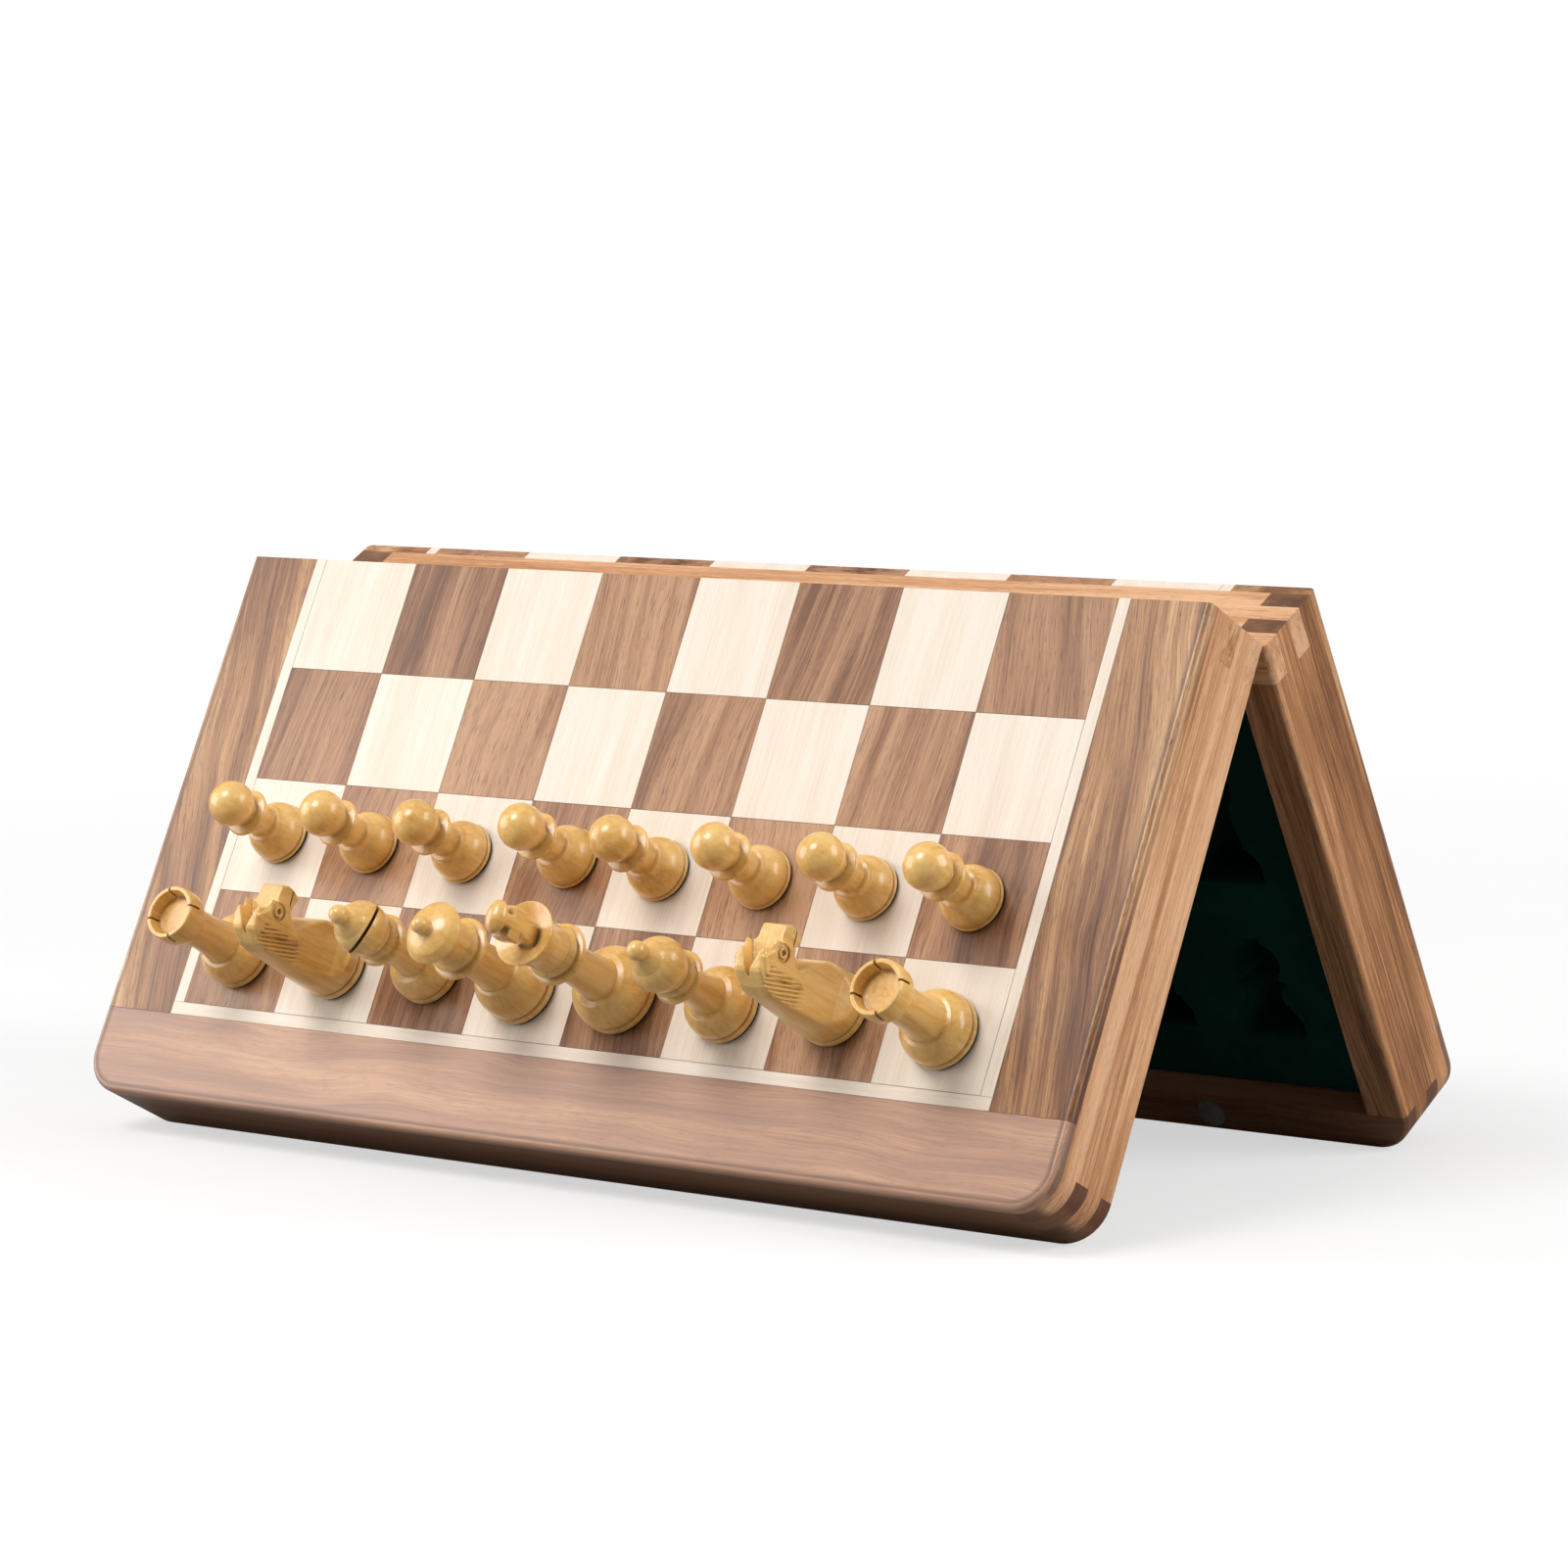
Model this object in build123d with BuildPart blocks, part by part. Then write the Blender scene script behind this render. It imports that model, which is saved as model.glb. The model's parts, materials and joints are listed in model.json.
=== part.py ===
from build123d import *
import math
import os

# A folding chess board standing as a tent, with thirty-two magnetic chess pieces.
# Millimetres, +Z up, X along the hinge. The origin is on the floor under the hinge.
# Each half has its own panel frame: u along the hinge, v up the slope to the hinge axis,
# w out of the board, from 0 at the storage rim to CASE_DEPTH at the playing surface.

# ---- driving sizes -------------------------------------------------------------------
BOARD_LENGTH = 305.0        # along the hinge
CASE_DEPTH = 26.3           # thickness of one half
TENT_HALF_ANGLE = 28.0      # tilt of each half from the vertical, degrees
KING_HEIGHT = 55.3          # from the playing surface to the top of the cross
RAIL_WIDTH = 11.0           # width of the case's rails
TOP_THICKNESS = 3.0         # squares, inlay and border boards
CORNER_RADIUS = 11.0        # closing corners, seen from the front
EDGE_ROUND = 1.5            # outer edges of the case
HINGE_FACE_GAP = 0.2        # from the hinge axis to each hinge face
STEEL_THICKNESS = 0.5
BACKING_THICKNESS = 1.0     # core left under the steel sheet
FELT_DROP = 7.6             # from the storage rim down to the tray's surface
TRAY_FLOOR = 0.5
JOINT_GAP = 0.1             # glue line between neighbouring boards
LOOSE = 0.02                # parting line between solids of one node
FINGERS = 4                 # finger joint steps over the rail's height

# ---- butt hinges ---------------------------------------------------------------------
HINGE_OFFSET = 95.0         # from the middle of the board to each hinge
HINGE_LENGTH = 40.0
KNUCKLES = 5
BARREL_RADIUS = 2.4
BARREL_CLEAR = 0.35         # room round the barrel in the rails
PIN_RADIUS = 1.0
PIN_CLEAR = 0.06            # running clearance in the rear knuckles
LEAF_WIDTH = 9.4
LEAF_THICKNESS = 1.2
LEAF_SINK = 0.15            # leaf face below the rim
SCREW_HEAD_RADIUS = 1.9
SCREW_RADIUS = 1.0
SCREW_LENGTH = 8.0

# ---- magnets and felt ----------------------------------------------------------------
CLOSURE_MAGNET_RADIUS = 4.0
CLOSURE_MAGNET_DEPTH = 3.0
CLOSURE_MAGNET_OFFSET = 93.2
PAD_THICKNESS = 0.8
FOOT_MAGNET_RADIUS = 4.5
FOOT_MAGNET_DEPTH = 3.0

# ---- sizes that follow ---------------------------------------------------------------
HALF_LENGTH = BOARD_LENGTH / 2
HALF_DEPTH = BOARD_LENGTH / 2
SQUARE = BOARD_LENGTH / 9.652
INLAY_WIDTH = SQUARE * 0.108
FIELD = 4 * SQUARE
INLAY_END = FIELD + INLAY_WIDTH
TOP_W = CASE_DEPTH - TOP_THICKNESS
STEEL_W = TOP_W - STEEL_THICKNESS
CORE_W = STEEL_W - BACKING_THICKNESS
CELL_FLOOR_W = CORE_W - TRAY_FLOOR
HINGE_RAIL_END = HINGE_FACE_GAP + RAIL_WIDTH
INNER_U = HALF_LENGTH - RAIL_WIDTH
INNER_V = HALF_DEPTH - RAIL_WIDTH
UNIT = KING_HEIGHT / 1.75   # the chess pieces are drawn in this unit

TILT = math.radians(TENT_HALF_ANGLE)
HINGE_Z = (HALF_DEPTH - EDGE_ROUND) * math.cos(TILT) + EDGE_ROUND * (1 - math.sin(TILT))

CELL_WIDTH = UNIT * 0.76
CELL_PITCH = UNIT * 1.044
OFFICER_CELL = KING_HEIGHT + 4.2
PAWN_CELL = UNIT * 0.893 + 1.8
TRAY_U = INNER_U - 0.2
TRAY_TOP_V = HINGE_RAIL_END + 0.2
TRAY_END_V = INNER_V - 0.2
SPARE_V = TRAY_END_V - TRAY_TOP_V - OFFICER_CELL - PAWN_CELL
OFFICER_V0 = TRAY_TOP_V + SPARE_V * 0.14
OFFICER_V1 = OFFICER_V0 + OFFICER_CELL
PAWN_V0 = OFFICER_V1 + SPARE_V * 0.46
PAWN_V1 = PAWN_V0 + PAWN_CELL

SIDES = ("front", "rear")
FILES = "abcdefgh"


def panel_plane(side):
    """The storage rim's plane of one half, its y towards the hinge, its z to the squares."""
    if side == "front":
        return Plane(
            origin=(0, 0, HINGE_Z),
            x_dir=(1, 0, 0),
            z_dir=(0, -math.cos(TILT), math.sin(TILT)),
        )
    return Plane(
        origin=(0, 0, HINGE_Z),
        x_dir=(-1, 0, 0),
        z_dir=(0, math.cos(TILT), math.sin(TILT)),
    )


def block(u0, u1, v0, v1, w0, w1, mode=Mode.ADD):
    """A box in the panel frame; v is given as a distance down from the hinge axis."""
    with Locations(((u0 + u1) / 2, -(v0 + v1) / 2, (w0 + w1) / 2)):
        Box(abs(u1 - u0), abs(v1 - v0), abs(w1 - w0), mode=mode)


def finish(part, name):
    """Labels one node and writes its STEP file."""
    part.label = name
    export_step(part, "parts/" + name + ".step")


# ---- the case ------------------------------------------------------------------------
def case_envelope():
    """Rounded outside of one half, in its panel frame."""
    with BuildPart() as envelope:
        with BuildSketch() as outline:
            with Locations((0, -HALF_DEPTH / 2)):
                Rectangle(BOARD_LENGTH, HALF_DEPTH)
            closing = outline.vertices().sort_by(Axis.Y)[0:2]
            fillet(closing, radius=CORNER_RADIUS)
        extrude(amount=CASE_DEPTH)
        faces = envelope.faces().sort_by(Axis.Z)
        rim = faces[0].edges() + faces[-1].edges()
        rim = [e for e in rim if e.center().Y < -1.0]
        fillet(rim, radius=EDGE_ROUND)
    return envelope.part


def finger_step(index):
    """Lower and upper w of one finger."""
    step = TOP_W / FINGERS
    return index * step, (index + 1) * step


def hinge_recess(mode=Mode.SUBTRACT):
    """Room for the barrels and leaves of both hinges in a hinge rail."""
    for centre in (-HINGE_OFFSET, HINGE_OFFSET):
        with Locations(Location((centre, 0, 0), (0, 90, 0))):
            Cylinder(BARREL_RADIUS + BARREL_CLEAR, HINGE_LENGTH + 0.8, mode=mode)
        half = HINGE_LENGTH / 2 + 0.2
        depth = LEAF_SINK + LEAF_THICKNESS + LOOSE
        block(centre - half, centre + half, 0, LEAF_WIDTH + 0.2, -0.5, depth, mode)


def screw_places():
    """Panel coordinates of the hinge screws of one half."""
    places = []
    for centre in (-HINGE_OFFSET, HINGE_OFFSET):
        for step in (-0.34, 0.0, 0.34):
            places.append((centre + step * HINGE_LENGTH, -(LEAF_WIDTH + BARREL_RADIUS) / 2))
    return places


def make_hinge_rail(side, envelope):
    with BuildPart(panel_plane(side)) as hinge_rail:
        inner = HALF_LENGTH - RAIL_WIDTH
        block(-inner, inner, HINGE_FACE_GAP, HINGE_RAIL_END, 0, TOP_W)
        for index in range(0, FINGERS, 2):
            low, high = finger_step(index)
            block(-HALF_LENGTH, HALF_LENGTH, HINGE_FACE_GAP, HINGE_RAIL_END, low, high)
        add(envelope, mode=Mode.INTERSECT)
        hinge_recess()
        for u, v in screw_places():
            with Locations((u, v, SCREW_LENGTH / 2 + 1)):
                Cylinder(SCREW_RADIUS + 0.05, SCREW_LENGTH + 2, mode=Mode.SUBTRACT)
    finish(hinge_rail.part, side + "_hinge_rail")


def make_closing_rail(side, envelope):
    with BuildPart(panel_plane(side)) as closing_rail:
        block(-INNER_U, INNER_U, INNER_V, HALF_DEPTH, 0, TOP_W)
        for index in range(0, FINGERS, 2):
            low, high = finger_step(index)
            block(-HALF_LENGTH, HALF_LENGTH, INNER_V, HALF_DEPTH, low, high)
        add(envelope, mode=Mode.INTERSECT)
        for u in (-CLOSURE_MAGNET_OFFSET, CLOSURE_MAGNET_OFFSET):
            with Locations((u, -(INNER_V + HALF_DEPTH) / 2, CLOSURE_MAGNET_DEPTH / 2)):
                Cylinder(
                    CLOSURE_MAGNET_RADIUS + 0.05,
                    CLOSURE_MAGNET_DEPTH + 0.1,
                    mode=Mode.SUBTRACT,
                )
    finish(closing_rail.part, side + "_closing_rail")


def make_side_rail(side, hand, envelope):
    sign = -1 if hand == "left" else 1
    with BuildPart(panel_plane(side)) as side_rail:
        inner = sign * INNER_U
        outer = sign * HALF_LENGTH
        block(inner, outer, HINGE_RAIL_END, INNER_V, 0, TOP_W)
        for index in range(1, FINGERS, 2):
            low, high = finger_step(index)
            block(inner, outer, HINGE_FACE_GAP, HALF_DEPTH, low, high)
        add(envelope, mode=Mode.INTERSECT)
    finish(side_rail.part, side + "_" + hand + "_rail")


def make_core_panel(side):
    with BuildPart(panel_plane(side)) as core_panel:
        block(-INNER_U, INNER_U, HINGE_RAIL_END, INNER_V, CORE_W, TOP_W)
        block(-FIELD, FIELD, HINGE_RAIL_END + 0.6, FIELD, STEEL_W, TOP_W + 1, Mode.SUBTRACT)
    finish(core_panel.part, side + "_core_panel")


def make_steel_sheet(side):
    with BuildPart(panel_plane(side)) as steel_sheet:
        edge = FIELD - 0.2
        block(-edge, edge, HINGE_RAIL_END + 0.8, edge, STEEL_W, TOP_W)
    finish(steel_sheet.part, side + "_steel_sheet")


# ---- the playing surface -------------------------------------------------------------
def make_squares(side, shade):
    """Sixteen tiles; the corner square at the closing edge's left is dark."""
    gap = JOINT_GAP / 2
    with BuildPart(panel_plane(side)) as squares:
        for column in range(8):
            for row in range(4):
                dark = (column + row) % 2 == 1
                if dark != (shade == "dark"):
                    continue
                u = (column - 4) * SQUARE
                v = max(row * SQUARE, HINGE_FACE_GAP - gap)
                end = (row + 1) * SQUARE
                block(u + gap, u + SQUARE - gap, v + gap, end - gap, TOP_W, CASE_DEPTH)
    finish(squares.part, side + "_" + shade + "_squares")


def make_inlay_strips(side):
    gap = JOINT_GAP / 2
    with BuildPart(panel_plane(side)) as inlay_strips:
        for sign in (-1, 1):
            near = sign * (FIELD + gap)
            far = sign * (INLAY_END - gap)
            block(near, far, HINGE_FACE_GAP, FIELD - gap, TOP_W, CASE_DEPTH)
        end = INLAY_END - gap
        block(-end, end, FIELD + gap, end, TOP_W, CASE_DEPTH)
    finish(inlay_strips.part, side + "_inlay_strips")


def make_border_boards(side, envelope):
    gap = JOINT_GAP / 2
    with BuildPart(panel_plane(side)) as border_boards:
        for sign in (-1, 1):
            near = sign * (INLAY_END + gap)
            far = sign * HALF_LENGTH
            block(near, far, HINGE_FACE_GAP, INLAY_END - gap, TOP_W, CASE_DEPTH)
        block(-HALF_LENGTH, HALF_LENGTH, INLAY_END + gap, HALF_DEPTH, TOP_W, CASE_DEPTH)
        add(envelope, mode=Mode.INTERSECT)
    finish(border_boards.part, side + "_border_boards")


# ---- storage side --------------------------------------------------------------------
def make_piece_tray(side):
    """Flocked tray: a floor, three cross bars and the dividers between the recesses."""
    with BuildPart(panel_plane(side)) as piece_tray:
        block(-TRAY_U, TRAY_U, TRAY_TOP_V, TRAY_END_V, CELL_FLOOR_W, CORE_W)
        top = CELL_FLOOR_W - LOOSE
        block(-TRAY_U, TRAY_U, TRAY_TOP_V, OFFICER_V0 - LOOSE, FELT_DROP, top)
        block(-TRAY_U, TRAY_U, OFFICER_V1 + LOOSE, PAWN_V0 - LOOSE, FELT_DROP, top)
        block(-TRAY_U, TRAY_U, PAWN_V1 + LOOSE, TRAY_END_V, FELT_DROP, top)
        for start, end in ((OFFICER_V0, OFFICER_V1), (PAWN_V0, PAWN_V1)):
            for index in range(9):
                low = (index - 4.5) * CELL_PITCH + CELL_WIDTH / 2
                high = (index - 3.5) * CELL_PITCH - CELL_WIDTH / 2
                low = -TRAY_U if index == 0 else low
                high = TRAY_U if index == 8 else high
                block(low, high, start, end, FELT_DROP, top)
    finish(piece_tray.part, side + "_piece_tray")


def make_closure_magnets(side):
    with BuildPart(panel_plane(side)) as closure_magnets:
        for u in (-CLOSURE_MAGNET_OFFSET, CLOSURE_MAGNET_OFFSET):
            place = (u, -(INNER_V + HALF_DEPTH) / 2, 0.05)
            with Locations(place):
                Cylinder(
                    CLOSURE_MAGNET_RADIUS,
                    CLOSURE_MAGNET_DEPTH - 0.1,
                    align=(Align.CENTER, Align.CENTER, Align.MIN),
                )
    finish(closure_magnets.part, side + "_closure_magnets")


# ---- hinges --------------------------------------------------------------------------
def make_hinge_leaves(side):
    """Both leaves of one half; the front ones carry the pins in their knuckles."""
    own = 0 if side == "front" else 1
    step = HINGE_LENGTH / KNUCKLES
    bore = PIN_RADIUS + (LOOSE if side == "front" else PIN_CLEAR)
    back = BARREL_RADIUS + 0.3
    low = LEAF_SINK
    high = LEAF_SINK + LEAF_THICKNESS
    with BuildPart(panel_plane(side)) as hinge_leaves:
        for centre in (-HINGE_OFFSET, HINGE_OFFSET):
            left = centre - HINGE_LENGTH / 2
            block(left, left + HINGE_LENGTH, back, LEAF_WIDTH, low, high)
            for index in range(own, KNUCKLES, 2):
                start = left + index * step + 0.1
                end = start + step - 0.2
                block(start, end, 0, back, low, high)
                with Locations(Location(((start + end) / 2, 0, 0), (0, 90, 0))):
                    Cylinder(BARREL_RADIUS, end - start)
        for u, v in screw_places():
            with Locations((u, v, LEAF_SINK)):
                Cone(
                    SCREW_HEAD_RADIUS + 0.05,
                    SCREW_RADIUS + 0.05,
                    LEAF_THICKNESS,
                    align=(Align.CENTER, Align.CENTER, Align.MIN),
                    mode=Mode.SUBTRACT,
                )
        for centre in (-HINGE_OFFSET, HINGE_OFFSET):
            with Locations(Location((centre, 0, 0), (0, 90, 0))):
                Cylinder(bore, HINGE_LENGTH + 1, mode=Mode.SUBTRACT)
        if side == "front":
            for centre in (-HINGE_OFFSET, HINGE_OFFSET):
                with Locations(Location((centre, 0, 0), (0, 90, 0))):
                    Cylinder(PIN_RADIUS, HINGE_LENGTH - 0.4)
    finish(hinge_leaves.part, side + "_hinge_leaves")


def make_hinge_screws(side):
    with BuildPart(panel_plane(side)) as hinge_screws:
        for u, v in screw_places():
            with Locations((u, v, LEAF_SINK + 0.02)):
                Cone(
                    SCREW_HEAD_RADIUS,
                    SCREW_RADIUS,
                    LEAF_THICKNESS,
                    align=(Align.CENTER, Align.CENTER, Align.MIN),
                )
            with Locations((u, v, LEAF_SINK + LEAF_THICKNESS)):
                Cylinder(
                    SCREW_RADIUS,
                    SCREW_LENGTH - LEAF_THICKNESS,
                    align=(Align.CENTER, Align.CENTER, Align.MIN),
                )
            with Locations((u, v, LEAF_SINK + 0.02)):
                Box(
                    2.6,
                    0.5,
                    0.5,
                    align=(Align.CENTER, Align.CENTER, Align.MIN),
                    mode=Mode.SUBTRACT,
                )
    finish(hinge_screws.part, side + "_hinge_screws")


# ---- chess pieces: outlines as (radius, height) or (through, end) of an arc -----------
FOOT_H = 0.026


def ball(centre, radius, start):
    """Two steps: the point where a ball begins and the arc from there over its top."""
    lower = math.asin((start - centre) / radius)
    middle = (lower + math.pi / 2) / 2
    return (
        (radius * math.cos(lower), start),
        (
            radius * math.cos(middle),
            centre + radius * math.sin(middle),
            0.0,
            centre + radius,
        ),
    )


PAWN = (
    (0.252, FOOT_H),
    (0.256, 0.031),
    (0.256, 0.048),
    (0.248, 0.054),
    (0.250, 0.070),
    (0.236, 0.155, 0.168, 0.250),
    (0.155, 0.292),
    (0.134, 0.300),
    (0.130, 0.390, 0.158, 0.475),
    (0.186, 0.485),
    (0.193, 0.500),
    (0.185, 0.514),
    (0.124, 0.544),
    *ball(0.705, 0.188, 0.560),
)
ROOK = (
    (0.298, FOOT_H),
    (0.303, 0.031),
    (0.303, 0.063),
    (0.293, 0.072),
    (0.297, 0.086),
    (0.284, 0.185, 0.235, 0.255),
    (0.213, 0.268),
    (0.190, 0.275),
    (0.159, 0.450, 0.150, 0.640),
    (0.163, 0.725, 0.205, 0.775),
    (0.200, 0.785),
    (0.222, 0.800),
    (0.232, 0.880, 0.226, 0.970),
    (0.219, 0.985),
    (0.189, 0.985),
    (0.185, 0.975),
    (0.172, 0.873),
    (0.000, 0.873),
)
BISHOP = (
    (0.292, FOOT_H),
    (0.297, 0.031),
    (0.297, 0.074),
    (0.288, 0.084),
    (0.293, 0.100),
    (0.277, 0.190, 0.222, 0.255),
    (0.200, 0.264),
    (0.165, 0.270),
    (0.134, 0.440, 0.127, 0.620),
    (0.150, 0.655),
    (0.205, 0.668),
    (0.222, 0.680),
    (0.206, 0.697),
    (0.183, 0.757),
    (0.200, 0.775),
    (0.184, 0.791),
    (0.165, 0.800),
    (0.180, 0.816),
    (0.177, 0.832),
    (0.218, 0.930, 0.150, 1.100),
    (0.112, 1.158, 0.066, 1.199),
    *ball(1.250, 0.078, 1.206),
)
QUEEN = (
    (0.315, FOOT_H),
    (0.320, 0.031),
    (0.320, 0.078),
    (0.310, 0.088),
    (0.315, 0.105),
    (0.298, 0.235, 0.215, 0.370),
    (0.205, 0.380),
    (0.190, 0.385),
    (0.159, 0.580, 0.150, 0.780),
    (0.180, 0.830),
    (0.242, 0.850),
    (0.260, 0.865),
    (0.244, 0.882),
    (0.204, 0.925),
    (0.218, 0.945),
    (0.203, 0.962),
    (0.180, 0.975),
    (0.175, 1.030),
    (0.196, 1.120, 0.245, 1.190),
    (0.256, 1.220),
    (0.207, 1.277),
    (0.143, 1.310, 0.072, 1.330),
    *ball(1.390, 0.070, 1.351),
)
KING = (
    (0.338, FOOT_H),
    (0.343, 0.031),
    (0.343, 0.068),
    (0.330, 0.078),
    (0.338, 0.098),
    (0.322, 0.215, 0.250, 0.300),
    (0.222, 0.318),
    (0.185, 0.325),
    (0.158, 0.550, 0.145, 0.780),
    (0.180, 0.835),
    (0.240, 0.855),
    (0.258, 0.870),
    (0.240, 0.888),
    (0.198, 0.925),
    (0.218, 0.943),
    (0.200, 0.962),
    (0.180, 0.980),
    (0.190, 0.995),
    (0.187, 1.050),
    (0.212, 1.200, 0.265, 1.325),
    (0.258, 1.335),
    (0.090, 1.250),
    (0.000, 1.250),
)
KNIGHT_FOOT = (
    (0.295, FOOT_H),
    (0.300, 0.031),
    (0.300, 0.074),
    (0.291, 0.084),
    (0.296, 0.100),
    (0.285, 0.190, 0.235, 0.255),
    (0.200, 0.285),
    (0.000, 0.285),
)
# Side view of the horse's head: (towards the opponent, height).
KNIGHT_HEAD = (
    (-0.225, 0.260),
    (-0.243, 0.450),
    (-0.246, 0.700),
    (-0.240, 1.060),
    (-0.185, 1.190),
    (-0.070, 1.140),
    (0.010, 1.220),
    (0.060, 1.190),
    (0.150, 1.060),
    (0.290, 0.930),
    (0.330, 0.850),
    (0.285, 0.755),
    (0.140, 0.790),
    (0.060, 0.745),
    (0.130, 0.620),
    (0.235, 0.460),
    (0.275, 0.320),
    (0.255, 0.260),
)
KNIGHT_HALF_THICKNESS = 0.15
# Right half of the king's cross, seen from the side of the board: (across, height).
CROSS = (
    (0.030, 1.240),
    (0.082, 1.400),
    (0.052, 1.480),
    (0.130, 1.440),
    (0.130, 1.620),
    (0.052, 1.575),
    (0.085, 1.690),
    (0.000, 1.750),
)
CROSS_HALF_THICKNESS = 0.085
CROSS_ARM = 0.132
BASE_RADIUS = {
    "pawn": 0.256,
    "rook": 0.303,
    "knight": 0.300,
    "bishop": 0.297,
    "queen": 0.320,
    "king": 0.343,
}


def turned(profile):
    """A wooden body turned about Z from one of the outlines above."""
    with BuildPart() as body:
        with BuildSketch(Plane.XZ):
            with BuildLine():
                here = (0.0, profile[0][1] * UNIT)
                start = here
                for step in profile:
                    end = (step[-2] * UNIT, step[-1] * UNIT)
                    if len(step) == 2:
                        Line(here, end)
                    else:
                        ThreePointArc(here, (step[0] * UNIT, step[1] * UNIT), end)
                    here = end
                Line(here, start)
            make_face()
        revolve(axis=Axis.Z)
    return body.part


def rook_body():
    with BuildPart() as body:
        add(turned(ROOK))
        for turn in (20, 110):
            with Locations(Location((0, 0, 0.93 * UNIT), (0, 0, turn))):
                Box(0.6 * UNIT, 0.022 * UNIT, 0.114 * UNIT, mode=Mode.SUBTRACT)
    return body.part


def bishop_body(turn):
    with BuildPart() as body:
        add(turned(BISHOP))
        with Locations(Location((0, 0, 0), (0, 0, turn))):
            with Locations(Location((0.15 * UNIT, 0, 1.05 * UNIT), (0, -38, 0))):
                Box(0.26 * UNIT, 0.6 * UNIT, 0.028 * UNIT, mode=Mode.SUBTRACT)
    return body.part


def knight_body():
    with BuildPart() as body:
        add(turned(KNIGHT_FOOT))
        with BuildSketch(Plane.YZ):
            with BuildLine():
                Polyline([(y * UNIT, z * UNIT) for y, z in KNIGHT_HEAD], close=True)
            make_face()
        extrude(amount=KNIGHT_HALF_THICKNESS * UNIT, both=True)
    return body.part


def king_body():
    right = [(y * UNIT, z * UNIT) for y, z in CROSS]
    left = [(-y * UNIT, z * UNIT) for y, z in reversed(CROSS[:-1])]
    with BuildPart() as body:
        add(turned(KING))
        with BuildSketch(Plane.YZ):
            with BuildLine():
                Polyline(right + left, close=True)
            make_face()
        extrude(amount=CROSS_HALF_THICKNESS * UNIT, both=True)
    return body.part


def magnetic_piece(body, base):
    """Adds the foot magnet in its pocket and the felt pad, as separate solids."""
    low = (Align.CENTER, Align.CENTER, Align.MIN)
    foot = FOOT_H * UNIT
    with BuildPart() as piece:
        add(body)
        with Locations((0, 0, foot - 0.5)):
            Cylinder(
                FOOT_MAGNET_RADIUS + 0.05,
                FOOT_MAGNET_DEPTH + 0.6,
                align=low,
                mode=Mode.SUBTRACT,
            )
        with Locations((0, 0, foot)):
            Cylinder(FOOT_MAGNET_RADIUS, FOOT_MAGNET_DEPTH, align=low)
        Cylinder(base * UNIT - 0.35, foot - LOOSE, align=low)
    return piece.part


def make_chess_piece(side, name, shape, u, v):
    """Sets one piece on its square; u and v are in squares, v down from the hinge."""
    panel = panel_plane(side)
    spot = panel.from_local_coords((u * SQUARE, -v * SQUARE, CASE_DEPTH))
    with BuildPart(Plane(origin=spot, x_dir=panel.x_dir, z_dir=panel.z_dir)) as chess_piece:
        add(shape)
    finish(chess_piece.part, side + "_" + name)


# Where each piece stands: file, distance from the board's middle line and from the hinge.
OFFICERS = (
    ("rook_a", "rook", -3.520, 3.540),
    ("knight_b", "knight", -2.485, 3.550),
    ("bishop_c", "bishop_c", -1.490, 3.500),
    ("queen", "queen", -0.518, 3.560),
    ("king", "king", 0.458, 3.524),
    ("bishop_f", "bishop_f", 1.503, 3.545),
    ("knight_g", "knight", 2.505, 3.470),
    ("rook_h", "rook", 3.533, 3.550),
)
PAWN_PLACES = (
    (-3.494, 2.483),
    (-2.497, 2.500),
    (-1.505, 2.508),
    (-0.425, 2.467),
    (0.500, 2.500),
    (1.497, 2.492),
    (2.505, 2.500),
    (3.486, 2.504),
)


def make_all_pieces():
    shapes = {
        "pawn": magnetic_piece(turned(PAWN), BASE_RADIUS["pawn"]),
        "rook": magnetic_piece(rook_body(), BASE_RADIUS["rook"]),
        "knight": magnetic_piece(knight_body(), BASE_RADIUS["knight"]),
        "bishop_c": magnetic_piece(bishop_body(-20), BASE_RADIUS["bishop"]),
        "bishop_f": magnetic_piece(bishop_body(180), BASE_RADIUS["bishop"]),
        "queen": magnetic_piece(turned(QUEEN), BASE_RADIUS["queen"]),
        "king": magnetic_piece(king_body(), BASE_RADIUS["king"]),
    }
    for side in SIDES:
        sign = 1 if side == "front" else -1
        for name, shape, u, v in OFFICERS:
            make_chess_piece(side, name, shapes[shape], sign * u, v)
        for letter, (u, v) in zip(FILES, PAWN_PLACES):
            make_chess_piece(side, "pawn_" + letter, shapes["pawn"], sign * u, v)


def main():
    os.makedirs("parts", exist_ok=True)
    envelope = case_envelope()
    for side in SIDES:
        make_hinge_rail(side, envelope)
        make_closing_rail(side, envelope)
        make_side_rail(side, "left", envelope)
        make_side_rail(side, "right", envelope)
        make_core_panel(side)
        make_steel_sheet(side)
        make_squares(side, "light")
        make_squares(side, "dark")
        make_inlay_strips(side)
        make_border_boards(side, envelope)
        make_piece_tray(side)
        make_closure_magnets(side)
        make_hinge_leaves(side)
        make_hinge_screws(side)
    make_all_pieces()


main()
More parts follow.
